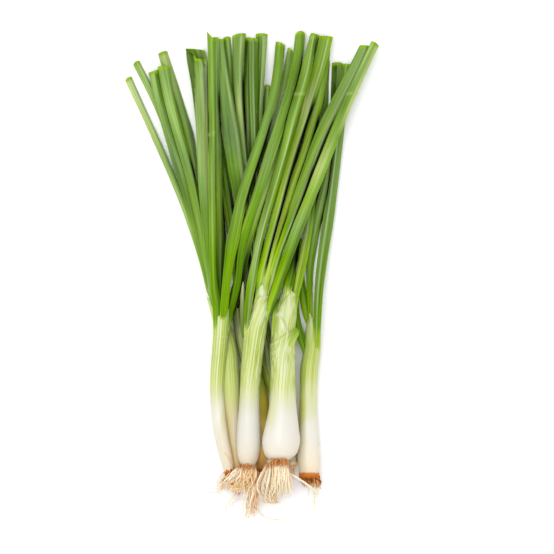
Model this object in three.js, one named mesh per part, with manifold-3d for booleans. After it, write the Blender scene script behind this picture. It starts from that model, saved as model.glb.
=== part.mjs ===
// A bunch of seven spring onions lying on a flat surface, roots towards -Y and trimmed leaf
// ends towards +Y. Lengths are millimetres. In the working drawing x runs across the bunch,
// y runs from the root plates (0) to the leaf ends and z is the height above the surface;
// the finished group is then moved so that its origin is the bottom centre of its own box.

import * as THREE from 'three';
import Module from 'manifold-3d';

const wasm = await Module();
wasm.setup();

// ---- driving dimensions -------------------------------------------------------------------

const ROW = 12.5;            // spacing of the cross-sections, the same for every strand
const CLEARANCE = 0.45;      // gap kept between strands that lie on each other
const STALK_SIDES = 14;
const LEAF_SIDES = 8;
const STALK_DEPTH = 0.94;    // height of a stalk's section over its width
const LEAF_DEPTH = 0.52;     // the same for a leaf, which is hollow and lies a little flattened
const THINNEST = 1.3;        // least height of a leaf's section
const STALK_PRESS = 0.5;     // how far a stalk's underside is pressed flat by the surface
const STALK_SAG = 0.03;      // droop of a free stalk in each row
const LEAF_SAG = 0.16;       // droop of a free leaf in each row
const STEPS_IN_ROW = 4;      // places in a row at which clearance is looked at
const SETTLING_ROUNDS = 400;

// Each route is a list of [x, y, width], hand laid along the middle of the piece. A stalk's
// route starts at its root plate and a leaf's route starts at its cut end.

const STALKS = {
  b: [[-10, 1, 5.6], [-10.5, 9.5, 7.4], [-11.5, 25, 8.7], [-12.5, 43.5, 9], [-13.5, 62, 9],
    [-15, 77.5, 8.7], [-19, 93, 8.4], [-23.5, 106, 7.4]],
  g: [[5.5, 1, 5], [5.5, 9.5, 6.8], [4.5, 25, 7.4], [1, 43.5, 7.4], [-2.5, 62, 7.1],
    [-6, 77.5, 7.1], [-8.5, 93, 7.1], [-9.5, 104, 6.8]],
  f: [[25.5, 4.5, 5], [24, 11, 6.5], [21, 25, 7.4], [17.5, 43.5, 7.4], [13.5, 62, 7.4],
    [10, 77.5, 7.4], [7, 90, 7.4], [4.5, 105.5, 6.8]],
  e: [[35.5, -2.5, 11.2], [35.5, 3, 13.6], [35, 12.5, 13.9], [35, 28, 11.8], [35, 43.5, 10.5],
    [35.5, 62, 10.9], [37, 73, 9.9], [38, 82.5, 10.2], [36.5, 93.5, 6.2]],
  d: [[16.5, 5.5, 8.7], [17.5, 9.5, 19.2], [18, 18.5, 23.6], [18.5, 28, 20.5], [19, 37, 17.7],
    [19, 49.5, 15.8], [19, 62, 14.6], [19, 77.5, 14.6], [20, 90, 14.3], [21.5, 100.5, 12.7],
    [22, 110.5, 10.5]],
  a: [[-14, -1, 6.2], [-15.5, 6, 7.8], [-19, 21.5, 8.7], [-21.5, 43.5, 8.7], [-21.5, 56, 9],
    [-20, 74.5, 9.6], [-19, 87, 9.9], [-18.5, 96, 10.5]],
  c: [[-2.5, 2.5, 8.1], [-2.5, 7.5, 13], [-2, 16.5, 15.2], [-2, 28, 14.4], [-1.5, 43.5, 12.3],
    [-1, 56, 12.4], [0.5, 71.5, 12.6], [1.5, 83.5, 13.3], [3.5, 93, 12.4], [6, 103.5, 9.9],
    [7, 113, 6.8]],
};

const LEAVES = {
  g3: [[-21.5, 211, 3.7], [-18.5, 173.5, 3.7], [-15, 155, 3.4], [-12.5, 139.5, 3.1],
    [-10, 108, 2.5]],
  g2: [[-28, 251.5, 4.3], [-23, 220, 4.3], [-17, 185.5, 4.3], [-12.5, 158.5, 4.3],
    [-10.5, 136.5, 3.7], [-9.5, 105, 2.8]],
  g4: [[-2, 268, 4], [-3, 248, 4.3], [-2.5, 198.5, 4.3], [-3.5, 155, 4], [-7.5, 105, 2.8]],
  g1: [[-15.5, 268.5, 4.3], [-13.5, 238.5, 5], [-11, 211, 5], [-9.5, 180, 5],
    [-7.5, 142.5, 4.3], [-8, 106, 2.8]],
  g5: [[24, 260.5, 4.3], [22.5, 248, 5.6], [19, 232.5, 5.3], [11, 204.5, 5], [5, 186, 5],
    [-1, 164.5, 4.7], [-5.5, 136.5, 4], [-8, 107.5, 2.8]],
  f5: [[9.5, 238.5, 3.4], [8, 225, 4], [7.5, 198.5, 4.3], [6, 155, 3.7], [6, 106, 2.5]],
  f4: [[6, 270.5, 7.4], [6, 260.5, 6.2], [5, 245, 5.6], [4, 222, 5.3], [4.5, 167.5, 4.7],
    [5.5, 106.5, 3.1]],
  f3: [[1, 267.5, 5.4], [1, 225, 5.1], [2, 207, 5.1], [3, 167.5, 4.7], [4.5, 107.5, 3.1]],
  f2: [[-8, 270.5, 8.3], [-8.5, 260.5, 8.1], [-8.5, 245, 6.7], [-7.5, 226.5, 5.9],
    [-5.5, 203.5, 5.3], [-3.5, 183, 5], [0, 142.5, 4.3], [3, 106, 3.1]],
  f1: [[-20, 267, 5], [-19, 254, 6.2], [-17, 238.5, 8.1], [-14.5, 222, 9], [-12, 198.5, 8.7],
    [-8, 175, 7.8], [-2, 136.5, 5], [2.5, 106.5, 3.1]],
  b2: [[-72, 252.5, 5.6], [-64, 237, 5], [-58.5, 226.5, 5], [-54.5, 216.5, 5],
    [-49.5, 199, 5], [-44.5, 181.5, 5], [-38.5, 158, 4.7], [-33.5, 139.5, 4.3],
    [-27.5, 111.5, 2.5]],
  b1: [[-76.5, 243, 5], [-67.5, 223, 4.7], [-58.5, 204.5, 4.7], [-51, 187, 4.7],
    [-46, 173.5, 4.7], [-40, 159.5, 4.3], [-36, 145.5, 4], [-32, 132, 3.7],
    [-28.5, 119.5, 3.4], [-25.5, 108.5, 2.5]],
  b4: [[-61, 247, 6.5], [-59, 233, 6.2], [-56.5, 224.5, 5.9], [-51.5, 207.5, 5.6],
    [-46, 189, 5.3], [-41, 172.5, 5], [-34.5, 145.5, 4.7], [-28.5, 121, 3.7],
    [-25, 107.5, 2.5]],
  b6: [[-55.5, 259, 5.9], [-52.5, 248.5, 6.5], [-47.5, 233.5, 6.8], [-42.5, 217, 6.8],
    [-39, 201.5, 6.5], [-35.5, 180, 5.6], [-31.5, 161, 5], [-27.5, 133.5, 4],
    [-24, 106.5, 2.5]],
  b5: [[-55, 250, 7.1], [-52.5, 233, 6.8], [-48, 216.5, 6.6], [-42.5, 198.5, 6.6],
    [-37, 178, 5.9], [-33, 157, 5.3], [-29.5, 139.5, 5], [-26.5, 122, 4], [-24.5, 108, 2.8]],
  b7: [[-35.5, 260.5, 10.5], [-33.5, 253, 11.8], [-32.5, 240, 10.4], [-31.5, 226.5, 8.7],
    [-31, 214, 7.8], [-30.5, 198.5, 7.4], [-30, 175, 6.8], [-28.5, 158, 5.9],
    [-27.5, 136.5, 4.7], [-25, 106.5, 3.1]],
  e4: [[25.5, 124, 3.1], [26, 105.5, 3.1], [28, 92.5, 2.8], [31.5, 77.5, 2.2]],
  e3: [[30, 142.5, 3.7], [30, 124, 3.7], [31, 109, 3.4], [34.5, 94, 2.8]],
  e2: [[53, 252.5, 5.9], [52.5, 235.5, 5.9], [51.5, 217, 5.6], [49, 198.5, 5.6],
    [46.5, 181.5, 5.6], [43, 167.5, 5.3], [39.5, 154, 5], [37, 136, 4.3], [35.5, 117, 4],
    [36.5, 94, 3.1]],
  e1: [[59.5, 251.5, 5.9], [57.5, 235.5, 5.8], [55, 218, 5.8], [52.5, 192, 5.8],
    [50.5, 175, 5.8], [48.5, 158, 5.8], [45.5, 141.5, 5.8], [43, 124, 5.6],
    [41, 108.5, 5.4], [40.5, 85, 4.3]],
  d3: [[46, 254, 5], [44.5, 232.5, 5], [42, 211, 5], [39, 186, 5], [36.5, 159.5, 5],
    [34, 142, 5.3], [31, 126.5, 5.6], [27.5, 111, 5]],
  d1: [[20.5, 173.5, 3.7], [18, 142.5, 3.7], [15.5, 121, 3.4], [14.5, 105.5, 3.1],
    [13.5, 93, 2.8]],
  d2: [[32, 173.5, 4.3], [28, 142.5, 4.7], [24, 119.5, 4.3], [21.5, 111, 3.7]],
  a2: [[-22.5, 268, 4.3], [-22.5, 232.5, 4.7], [-21, 198.5, 5], [-20.5, 175, 5],
    [-20, 142.5, 4.7], [-20, 97.5, 3.7]],
  a1: [[-25.5, 271, 5], [-25, 251, 4.3], [-25, 208.5, 4.3], [-25, 175, 4.5],
    [-24.5, 150, 4.5], [-24, 122, 4.3], [-22.5, 97.5, 3.7]],
  a5: [[41, 269.5, 5], [37, 260.5, 5.3], [31.5, 245, 5.6], [25, 226.5, 5.6],
    [18, 204.5, 5.6], [12, 185, 5.3], [3.5, 164.5, 5.3], [-0.5, 150, 5.3], [-4, 132.5, 5],
    [-8.5, 113.5, 4.7], [-13, 96.5, 3.1]],
  a4: [[30, 271.5, 6.2], [29.5, 259, 6.2], [27.5, 247, 6.2], [23.5, 234.5, 6.4],
    [19.5, 222, 6.5], [15.5, 209.5, 6.7], [11.5, 197, 6.8], [8, 185, 6.6],
    [4.5, 173.5, 6.2], [0.5, 163, 5.6], [-4.5, 147.5, 5], [-8, 134, 5], [-11, 120.5, 4.7],
    [-14.5, 97.5, 3.7]],
  a3: [[17.5, 264.5, 5.8], [17, 254, 5.8], [13.5, 230.5, 6], [9.5, 217, 6.1],
    [5, 203.5, 6.5], [-1, 186, 7.1], [-5.5, 170, 7.4], [-9.5, 153, 7.1], [-13, 136, 6.2],
    [-16, 116, 5.3], [-17.5, 96.5, 4.3]],
  c3: [[46.5, 260.5, 4], [45.5, 247, 5], [40.5, 229.5, 6.2], [36.5, 207, 6.8],
    [31.5, 194, 6.5], [27, 181.5, 6.2], [21, 164.5, 5.6], [16, 150, 5], [12, 132.5, 4.3],
    [8, 114, 3.1]],
  c2: [[46, 269, 8.7], [44, 254, 7.8], [40, 243, 6.5], [36, 229, 6.3], [28.5, 207, 6.3],
    [24.5, 194, 6.3], [20.5, 181.5, 6.2], [15, 157, 5.9], [11, 143, 5.6], [7, 129, 5],
    [5, 114, 3.4]],
  c1: [[38, 270.5, 3.1], [35.5, 258, 4], [33, 247, 4.3], [29, 233, 5], [25, 218, 5.4],
    [20, 196.5, 5.6], [12.5, 171, 5.4], [9, 160.5, 5.3], [6, 150, 5], [3, 134.5, 4.7],
    [-0.5, 116, 4.3], [-3, 98, 3.7], [-3.5, 90.5, 2.8]],
  c4: [[70, 263, 6.5], [66.5, 253, 7.4], [60, 240, 8.4], [53.5, 229, 8.7], [47.5, 218, 8.5],
    [42.5, 207, 8.2], [33.5, 181.5, 7.1], [27, 163, 6.2], [17.5, 139.5, 5], [13.5, 125, 4],
    [10, 113.5, 3]],
  c5: [[76.5, 264.5, 5.3], [71, 254, 5.4], [67.5, 243.5, 5.6], [61.5, 235, 6.1],
    [56.5, 222, 6.5], [51, 207, 6.8], [41, 181.5, 7.4], [30.5, 157, 7.8],
    [24.5, 139.5, 7.1], [18.5, 122, 5.9], [14.5, 111.5, 5], [11.5, 103.5, 3.7]],
};

// Short pieces beside a neck: the stub of an outer leaf cut away on onion d, and the withered
// tip of the outer sheath of onion c.
const STUBS = {
  cut_leaf_d: [[28, 88, 3.7], [24, 79, 3.1]],
  sheath_tip_c: [[-5.5, 117, 1.6], [-6, 105.5, 2.2], [-5.5, 86, 2.2]],
};

// The pieces in the order in which they come to lie on each other, lowest first.
const LAYING_ORDER = [
  'stalk_g', 'stalk_f', 'stalk_b', 'stalk_e',
  'leaf_g3', 'leaf_g2', 'leaf_g4', 'leaf_g1', 'leaf_g5',
  'leaf_f5', 'leaf_f4', 'leaf_f3', 'leaf_f2', 'leaf_f1',
  'leaf_b2', 'leaf_b1', 'leaf_b4', 'leaf_b6', 'leaf_b5', 'leaf_b7',
  'leaf_e4', 'leaf_e3', 'leaf_e2', 'leaf_e1',
  'stalk_d', 'stalk_a', 'stalk_c', 'cut_leaf_d',
  'leaf_d3', 'leaf_d1', 'leaf_d2',
  'leaf_a2', 'leaf_a1', 'leaf_a5', 'leaf_a4', 'leaf_a3',
  'sheath_tip_c', 'leaf_c3', 'leaf_c2', 'leaf_c1', 'leaf_c4', 'leaf_c5',
];

// Root tufts: number of roots, their thickness, and the box [low, high] in x, y and z that
// their free ends stay in. The boxes keep the tufts of neighbouring onions apart.
const ROOTS = {
  a: { count: 6, thick: 0.8, x: [-25, -12.5], y: [-17, -5], z: [0.5, 5] },
  b: { count: 4, thick: 0.7, x: [-11.5, -5], y: [-13, -5], z: [0.5, 4.5] },
  c: { count: 20, thick: 0.9, x: [-21, 3.4], y: [-32, -8], z: [6, 19] },
  g: { count: 4, thick: 0.7, x: [1, 9], y: [-13, -5], z: [0.5, 4.5] },
  d: { count: 22, thick: 0.9, x: [4.4, 28], y: [-22, -7], z: [9, 25] },
  f: { count: 4, thick: 0.7, x: [19, 28], y: [-9, -2], z: [0.5, 5] },
  e: { count: 12, thick: 0.8, x: [30, 43], y: [-36, -13], z: [0.5, 8] },
};
const ROOT_PLATE = 2.2;      // length of the hard plate that the roots grow from
const ROOT_SIDES = 4;
const ROOT_STEPS = 4;

const COLOURS = {
  stalk: '#E9EFC6',
  leaf: ['#6F9A3C', '#7DA84A', '#8DB53F', '#5F8B38', '#86AC62'],
  stub: '#A9C56A',
  roots: '#DDBE92',
};
const ROUGHNESS = { stalk: 0.42, leaf: 0.45, stub: 0.5, roots: 0.8 };

// ---- strands: pieces made of cross-sections in planes of constant y -----------------------

// Value and slope at y of column `index` of a route, by a cubic through neighbouring points.
function alongRoute(route, y, index) {
  const slopeAt = (k) => {
    const before = route[Math.max(k - 1, 0)];
    const after = route[Math.min(k + 1, route.length - 1)];
    return (after[index] - before[index]) / (after[1] - before[1]);
  };
  let k = 0;
  while (k < route.length - 2 && y > route[k + 1][1]) k += 1;
  const span = route[k + 1][1] - route[k][1];
  const t = (y - route[k][1]) / span;
  const [p0, p1] = [route[k][index], route[k + 1][index]];
  const [m0, m1] = [slopeAt(k) * span, slopeAt(k + 1) * span];
  const value = p0 + t * (m0 + t * (3 * (p1 - p0) - 2 * m0 - m1 + t * (2 * (p0 - p1) + m0 + m1)));
  const slope = (m0 + t * (2 * (3 * (p1 - p0) - 2 * m0 - m1) + 3 * t * (2 * (p0 - p1) + m0 + m1)));
  return { value, slope: slope / span };
}

// The heights y of a strand's cross-sections: its two ends and the shared rows between them.
function rowsBetween(low, high) {
  const rows = [low];
  for (let k = Math.ceil(low / ROW + 0.3); k * ROW < high - 0.3 * ROW; k += 1) rows.push(k * ROW);
  rows.push(high);
  return rows;
}

function makeStrand(name, givenRoute) {
  const route = [...givenRoute].sort((p, q) => p[1] - q[1]);
  const isStalk = name.startsWith('stalk');
  const ends = rowsBetween(route[0][1], route[route.length - 1][1]);
  const ys = isStalk ? [...new Set([...ends, route[1][1], route[2][1]])].sort((p, q) => p - q) : ends;
  const sections = ys.map((y) => {
    const middle = alongRoute(route, y, 0);
    const width = Math.max(alongRoute(route, y, 2).value, 1);
    const depth = isStalk ? width * STALK_DEPTH : Math.max(width * LEAF_DEPTH, THINNEST);
    const lean = Math.hypot(1, middle.slope);
    return { y, x: middle.value, halfWidth: width * lean / 2, halfDepth: depth / 2, z: 0 };
  });
  return { name, isStalk, onion: name.split('_').pop()[0], sections };
}

// The cross-section of a strand at any y, straight between its two neighbouring sections.
function sectionAt(strand, y) {
  const { sections } = strand;
  if (y < sections[0].y - CLEARANCE || y > sections[sections.length - 1].y + CLEARANCE) return null;
  let k = 0;
  while (k < sections.length - 2 && y > sections[k + 1].y) k += 1;
  const [low, high] = [sections[k], sections[k + 1]];
  const t = THREE.MathUtils.clamp((y - low.y) / (high.y - low.y), 0, 1);
  const mix = (key) => THREE.MathUtils.lerp(low[key], high[key], t);
  return { x: mix('x'), z: mix('z'), halfWidth: mix('halfWidth'), halfDepth: mix('halfDepth') };
}

// ---- laying the strands on the surface and on each other ----------------------------------

// The least height of the middle of `own` at y that clears the surface and what lies there.
function heightNeeded(strand, y, laid) {
  const own = sectionAt(strand, y);
  let height = own.halfDepth - (strand.isStalk ? STALK_PRESS : 0);
  for (const other of laid) {
    const there = sectionAt(other, y);
    if (there) {
      const reach = own.halfWidth + there.halfWidth + CLEARANCE;
      const stack = own.halfDepth + there.halfDepth + CLEARANCE;
      const share = Math.abs(own.x - there.x) / reach;
      if (share < 1) height = Math.max(height, there.z + stack * Math.sqrt(1 - share * share));
    }
  }
  return height;
}

// Heights of a strand that lies over the given floor: it may hang between supports by no more
// than `sag` in a row, and its ends carry on straight apart from the same droop.
function settle(floor, sag, baseHeld) {
  const last = floor.length - 1;
  const wide = floor.map((z, k) => Math.max(floor[Math.max(k - 1, 0)], z, floor[Math.min(k + 1, last)]));
  wide[0] = floor[0];
  const z = [...wide];
  for (let round = 0; round < SETTLING_ROUNDS; round += 1) {
    for (let k = 1; k < last; k += 1) z[k] = Math.max(z[k], (z[k - 1] + z[k + 1]) / 2 - sag);
    if (last > 1) z[last] = Math.max(z[last], 2 * z[last - 1] - z[last - 2] - sag);
    if (last > 1 && !baseHeld) z[0] = Math.max(z[0], 2 * z[1] - z[2] - sag);
  }
  const soft = z.map((h, k) => (k === 0 || k === last ? h : (z[k - 1] + 2 * h + z[k + 1]) / 4));
  return soft.map((h, k) => Math.max(h, floor[k]));
}

function lay(strand, laid) {
  const { sections } = strand;
  const last = sections.length - 1;
  const floor = sections.map((section, k) => {
    let height = 0;
    for (let step = -STEPS_IN_ROW; step <= STEPS_IN_ROW; step += 1) {
      const next = sections[THREE.MathUtils.clamp(k + Math.sign(step), 0, last)];
      const y = THREE.MathUtils.lerp(section.y, next.y, Math.abs(step) / (2 * STEPS_IN_ROW));
      height = Math.max(height, heightNeeded(strand, y, laid));
    }
    return height;
  });
  const stalk = laid.find((other) => other.name === `stalk_${strand.onion}`);
  if (stalk) {
    const neck = stalk.sections[stalk.sections.length - 1];
    floor[0] = Math.max(floor[0], neck.z - neck.halfDepth + sections[0].halfDepth);
  }
  const heights = settle(floor, strand.isStalk ? STALK_SAG : LEAF_SAG, !strand.isStalk);
  sections.forEach((section, k) => {
    section.z = heights[k];
  });
}

// ---- solids -------------------------------------------------------------------------------

// A closed body from rings of points: sides between the rings and a fan over each end.
function loft(rings) {
  const sides = rings[0].length;
  const positions = rings.flat().flatMap((p) => [p.x, p.y, p.z]);
  const index = [];
  for (let k = 0; k < rings.length - 1; k += 1) {
    for (let j = 0; j < sides; j += 1) {
      const a = k * sides + j;
      const b = k * sides + (j + 1) % sides;
      index.push(a, b, a + sides, b, b + sides, a + sides);
    }
  }
  const top = (rings.length - 1) * sides;
  for (let j = 1; j < sides - 1; j += 1) {
    index.push(0, j + 1, j);
    index.push(top, top + j, top + j + 1);
  }
  const geometry = new THREE.BufferGeometry();
  geometry.setAttribute('position', new THREE.Float32BufferAttribute(positions, 3));
  geometry.setIndex(index);
  return geometry;
}

// A strand's solid: rings drawn round their ellipses, so flats touch its sides, top and
// underside, and nothing reaches below the surface.
function strandGeometry(strand) {
  const sides = strand.isStalk ? STALK_SIDES : LEAF_SIDES;
  const outward = 1 / Math.cos(Math.PI / sides);
  const rings = strand.sections.map((section) => {
    const ring = [];
    for (let j = 0; j < sides; j += 1) {
      const angle = -(j + 0.5) * 2 * Math.PI / sides;
      const x = section.x + section.halfWidth * outward * Math.cos(angle);
      const z = section.z + section.halfDepth * outward * Math.sin(angle);
      ring.push(new THREE.Vector3(x, section.y, Math.max(z, 0)));
    }
    return ring;
  });
  return loft(rings);
}

// A thin round body along a list of points, with the given thickness at each of them.
function tubeGeometry(points, thicknesses, sides) {
  const rings = points.map((point, k) => {
    const before = points[Math.max(k - 1, 0)];
    const after = points[Math.min(k + 1, points.length - 1)];
    const ahead = after.clone().sub(before).normalize();
    const across = new THREE.Vector3(0, 0, 1).cross(ahead).normalize();
    const upward = ahead.clone().cross(across);
    const ring = [];
    for (let j = 0; j < sides; j += 1) {
      const angle = (j + 0.5) * 2 * Math.PI / sides;
      ring.push(point.clone()
        .addScaledVector(across, thicknesses[k] / 2 * Math.cos(angle))
        .addScaledVector(upward, thicknesses[k] / 2 * Math.sin(angle)));
    }
    return ring;
  });
  return loft(rings);
}

function toSolid(geometry) {
  const vertProperties = Float32Array.from(geometry.getAttribute('position').array);
  const triVerts = Uint32Array.from(geometry.getIndex().array);
  return new wasm.Manifold(new wasm.Mesh({ numProp: 3, vertProperties, triVerts }));
}

function toGeometry(solid) {
  const mesh = solid.getMesh();
  const geometry = new THREE.BufferGeometry();
  geometry.setAttribute('position', new THREE.BufferAttribute(Float32Array.from(mesh.vertProperties), 3));
  geometry.setIndex(new THREE.BufferAttribute(Uint32Array.from(mesh.triVerts), 1));
  return geometry;
}

// Numbers from 0 to 1 that are the same in every run.
function seededNumbers(seed) {
  let state = seed;
  return () => {
    state = (Math.imul(state, 1664525) + 1013904223) >>> 0;
    return state / 4294967296;
  };
}

// The hard plate under a bulb with its roots, joined in one body. The roots start inside the
// plate, spread to free ends inside the tuft's box, and droop on the way.
function rootsGeometry(stalk, tuft, seed) {
  const random = seededNumbers(seed);
  const base = stalk.sections[0];
  const top = base.y - CLEARANCE;
  const radius = base.halfWidth * 0.85;
  const lift = Math.max(base.z, radius);
  const plate = tubeGeometry(
    [0, 0.5, 1].map((t) => new THREE.Vector3(base.x, top - t * ROOT_PLATE, lift)),
    [1, 0.92, 0.6].map((part) => 2 * radius * part),
    LEAF_SIDES,
  );
  let solid = toSolid(plate);
  for (let k = 0; k < tuft.count; k += 1) {
    const turn = k * Math.PI * (3 - Math.sqrt(5));
    const spread = Math.sqrt((k + 0.5) / tuft.count);
    const out = new THREE.Vector3(Math.cos(turn), 0, Math.sin(turn));
    const start = new THREE.Vector3(base.x, top - 0.4 * ROOT_PLATE, lift)
      .addScaledVector(out, radius * 0.7 * spread);
    const share = (out.x * spread + 1) / 2 + (random() - 0.5) * 0.3;
    const rise = (out.z * spread + 1) / 2 + (random() - 0.5) * 0.3;
    const end = new THREE.Vector3(
      THREE.MathUtils.lerp(...tuft.x, THREE.MathUtils.clamp(share, 0, 1)),
      THREE.MathUtils.lerp(...tuft.y, random()),
      THREE.MathUtils.lerp(...tuft.z, THREE.MathUtils.clamp(rise, 0, 1)),
    );
    const knee = start.clone().lerp(end, 0.45).add(new THREE.Vector3(0, -1.5, 0));
    const curve = new THREE.QuadraticBezierCurve3(start, knee, end);
    const taper = Array.from({ length: ROOT_STEPS + 1 }, (_, j) => tuft.thick * (1.15 - 0.11 * j));
    solid = solid.add(toSolid(tubeGeometry(curve.getPoints(ROOT_STEPS), taper, ROOT_SIDES)));
  }
  return toGeometry(solid);
}

// ---- the bunch ----------------------------------------------------------------------------

const bunch = new THREE.Group();

function addPiece(name, geometry, colour, roughness) {
  const material = new THREE.MeshStandardMaterial({ color: colour, roughness, metalness: 0 });
  const mesh = new THREE.Mesh(geometry, material);
  mesh.name = name;
  bunch.add(mesh);
}

const named = (prefix, routes) => Object.entries(routes).map(([key, route]) => [prefix + key, route]);
const ROUTES = Object.fromEntries([
  ...named('stalk_', STALKS), ...named('leaf_', LEAVES), ...named('', STUBS),
]);

const laid = [];
for (const name of LAYING_ORDER) {
  const strand = makeStrand(name, ROUTES[name]);
  lay(strand, laid);
  laid.push(strand);
  const kind = { stalk: 'stalk', leaf: 'leaf' }[name.split('_')[0]] ?? 'stub';
  const colour = kind === 'leaf' ? COLOURS.leaf[laid.length % COLOURS.leaf.length] : COLOURS[kind];
  addPiece(name, strandGeometry(strand), colour, ROUGHNESS[kind]);
}

Object.entries(ROOTS).forEach(([onion, tuft], k) => {
  const stalk = laid.find((strand) => strand.name === `stalk_${onion}`);
  addPiece(`roots_${onion}`, rootsGeometry(stalk, tuft, 101 + 17 * k), COLOURS.roots, ROUGHNESS.roots);
});

const box = new THREE.Box3().setFromObject(bunch);
const middle = box.getCenter(new THREE.Vector3());
bunch.position.set(-middle.x, -middle.y, -box.min.z);

export default bunch;
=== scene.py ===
"""A bunch of seven spring onions, lying flat with their roots towards -Y.

Every leaf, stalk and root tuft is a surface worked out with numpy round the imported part's own
cross-sections. Lengths are millimetres in the part's working drawing, whose x runs across the
bunch and y from the root plates to the leaf ends, and become metres when a mesh is made.
"""

import math

import bpy
import numpy as np
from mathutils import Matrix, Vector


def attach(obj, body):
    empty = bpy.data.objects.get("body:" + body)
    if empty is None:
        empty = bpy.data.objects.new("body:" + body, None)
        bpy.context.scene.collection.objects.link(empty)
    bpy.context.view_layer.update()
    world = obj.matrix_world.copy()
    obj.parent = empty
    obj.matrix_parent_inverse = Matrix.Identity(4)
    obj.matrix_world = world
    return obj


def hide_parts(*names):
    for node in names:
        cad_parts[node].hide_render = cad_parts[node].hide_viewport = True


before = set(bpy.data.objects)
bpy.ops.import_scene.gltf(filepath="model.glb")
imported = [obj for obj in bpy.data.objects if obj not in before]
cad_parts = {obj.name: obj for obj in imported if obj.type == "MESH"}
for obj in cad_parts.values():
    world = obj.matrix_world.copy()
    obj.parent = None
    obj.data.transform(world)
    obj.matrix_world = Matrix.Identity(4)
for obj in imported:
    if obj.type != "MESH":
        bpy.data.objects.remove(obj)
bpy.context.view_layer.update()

MM = 0.001

# ---- colours ------------------------------------------------------------------------------

SKIN_GLOSS = 0.009           # what the skin's own gloss adds to every colour of the face
STUDIO_LEVEL = 1.48          # how bright the studio light makes a flat face of pure white


def linear(hex_colour):
    """sRGB hex to linear light, by the sRGB transfer curve."""
    code = np.array([int(hex_colour[n:n + 2], 16) for n in (1, 3, 5)]) / 255
    return np.where(code <= 0.04045, code / 12.92, ((code + 0.055) / 1.055) ** 2.4)


def seen(hex_colour):
    """The reflectance that looks like an sRGB hex value on a flat face under the studio light:
    the linear colour less the gloss, over the level of the light."""
    return np.maximum(linear(hex_colour) - SKIN_GLOSS, 0.001) / STUDIO_LEVEL


def sheltered(hex_colour, light):
    """The reflectance that looks like an sRGB hex value where only a share of the studio light
    gets in, never lighter than white skin can be."""
    return np.minimum(seen(hex_colour) / light, 0.95)


def rgba(reflectance):
    """A colour socket's value for a linear reflectance."""
    return (*np.minimum(reflectance, 1.0), 1.0)


def mixed(tone, other, share):
    """tone with a share of another in it, point by point."""
    share = np.asarray(share)[..., None]
    return tone * (1 - share) + other * share


def along(stops, height):
    """The colour at each height between named stops of (height, reflectance)."""
    heights, colours = zip(*stops)
    colours = np.array(colours)
    return np.stack([np.interp(height, heights, colours[:, n]) for n in range(3)], -1)


# Leaf tones: lime tissue near the neck, plain greens, the greyer greens under the waxy bloom,
# a whitish green that also paints highlights along the crests, a bright lime for cut rims and
# edges, their own tissue brightened by painted light shining through, and darks, down to night
# and gap, that paint the shade deep in the bunch and in the gaps between leaves.
TONES = {name: seen(colour) for name, colour in {
    "straw": "#C4D880", "spark": "#CCEC50", "lemon": "#ACCE40", "acid": "#9AC41E",
    "lime": "#7CAA00", "grass": "#70A01C", "moss": "#5E8A04", "sun": "#96BC34",
    "light": "#8CB244", "fresh": "#80A83E", "mid": "#709634", "herb": "#5A8428",
    "deep": "#547826", "shade": "#426012", "dark": "#30480A", "night": "#1A2608",
    "gap": "#060A02", "wax": "#C0D49C", "pale": "#A8C870", "mist": "#8CB05C",
    "bloom": "#789A4E", "slate": "#64824A", "leek": "#5C7C38", "pine": "#3C5420",
    "inner": "#86A850", "cut": "#98C41A",
}.items()}


def by_height(*stops):
    """Stops of (height, reflectance) from (height, sRGB hex, share of the light there)."""
    return [(height, sheltered(colour, light)) for height, colour, light in stops]


def relit(stops, middle, below, above):
    """The same stops with each reflectance times one factor below a height and times another,
    or one for each of red, green and blue, above it."""
    return [(height, tone * (below if height < middle else above)) for height, tone in stops]


# Stalk tones by drawing height: cream at the root end, white in the bulb, green in the shank.
SHANK_TONES = by_height(
    (-5, "#F4DEB8", 0.84), (4, "#F8EBD4", 0.87), (12, "#FAF2E2", 0.9), (22, "#FBF7EE", 0.94),
    (33, "#F9F8EC", 0.96), (40, "#F4F4D8", 0.98), (48, "#EAEDB4", 1), (57, "#DCE47C", 1),
    (70, "#D0DE70", 1), (85, "#CEE072", 1), (105, "#D0E274", 1), (115, "#DCE996", 1))
BROAD_TONES = relit(SHANK_TONES, 45, 0.97, 1.06)     # the thickest stalk, on top of the bunch
SLIM_TONES = relit(SHANK_TONES, 45, 0.92, 1)         # its slimmer neighbour, with a duller bulb
NARROW_TONES = relit(SHANK_TONES, 60, 1, np.array([0.87, 0.92, 0.62]))   # with a yellower shank
BACK_TONES = by_height(                              # behind the others, creamier all along
    (-5, "#FAD8A0", 0.55), (10, "#F0D298", 0.68), (20, "#E8D29C", 0.82), (36, "#E0DAA0", 0.9),
    (50, "#D2DC7C", 0.92), (62, "#C4D464", 0.92), (85, "#BCD050", 0.85), (106, "#C8DC6C", 0.95))
OLIVE_TONES = by_height(                             # deep in the shade between the others
    (0, "#9C6A2C", 0.6), (14, "#D8B054", 0.48), (24, "#D4B454", 0.5), (35, "#AA9628", 0.62),
    (45, "#AAA018", 0.62), (56, "#8E9A0C", 0.7), (66, "#6A7800", 0.95), (90, "#606E00", 1),
    (106, "#80981C", 0.9))

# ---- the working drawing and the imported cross-sections ------------------------------------

# The middle of the root end of stalk e in the working drawing fixes where the drawing lies.
STALK_E_ROOT_END = (35.5, -2.5)


def packed_rings(node):
    """The rings of a packed strand: its vertices sorted into their planes of constant y. Returns
    y with the lowest and highest x and z of each ring, in millimetres of the row frame."""
    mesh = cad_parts[node].data
    points = np.empty(len(mesh.vertices) * 3, np.float32)
    mesh.vertices.foreach_get("co", points)
    points = points.reshape(-1, 3).astype(float) / MM
    levels = np.unique(np.round(points[:, 1], 2))
    rings = [points[np.abs(points[:, 1] - level) < 0.02] for level in levels]
    low = np.array([ring.min(0) for ring in rings])
    high = np.array([ring.max(0) for ring in rings])
    return levels, low, high


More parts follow.
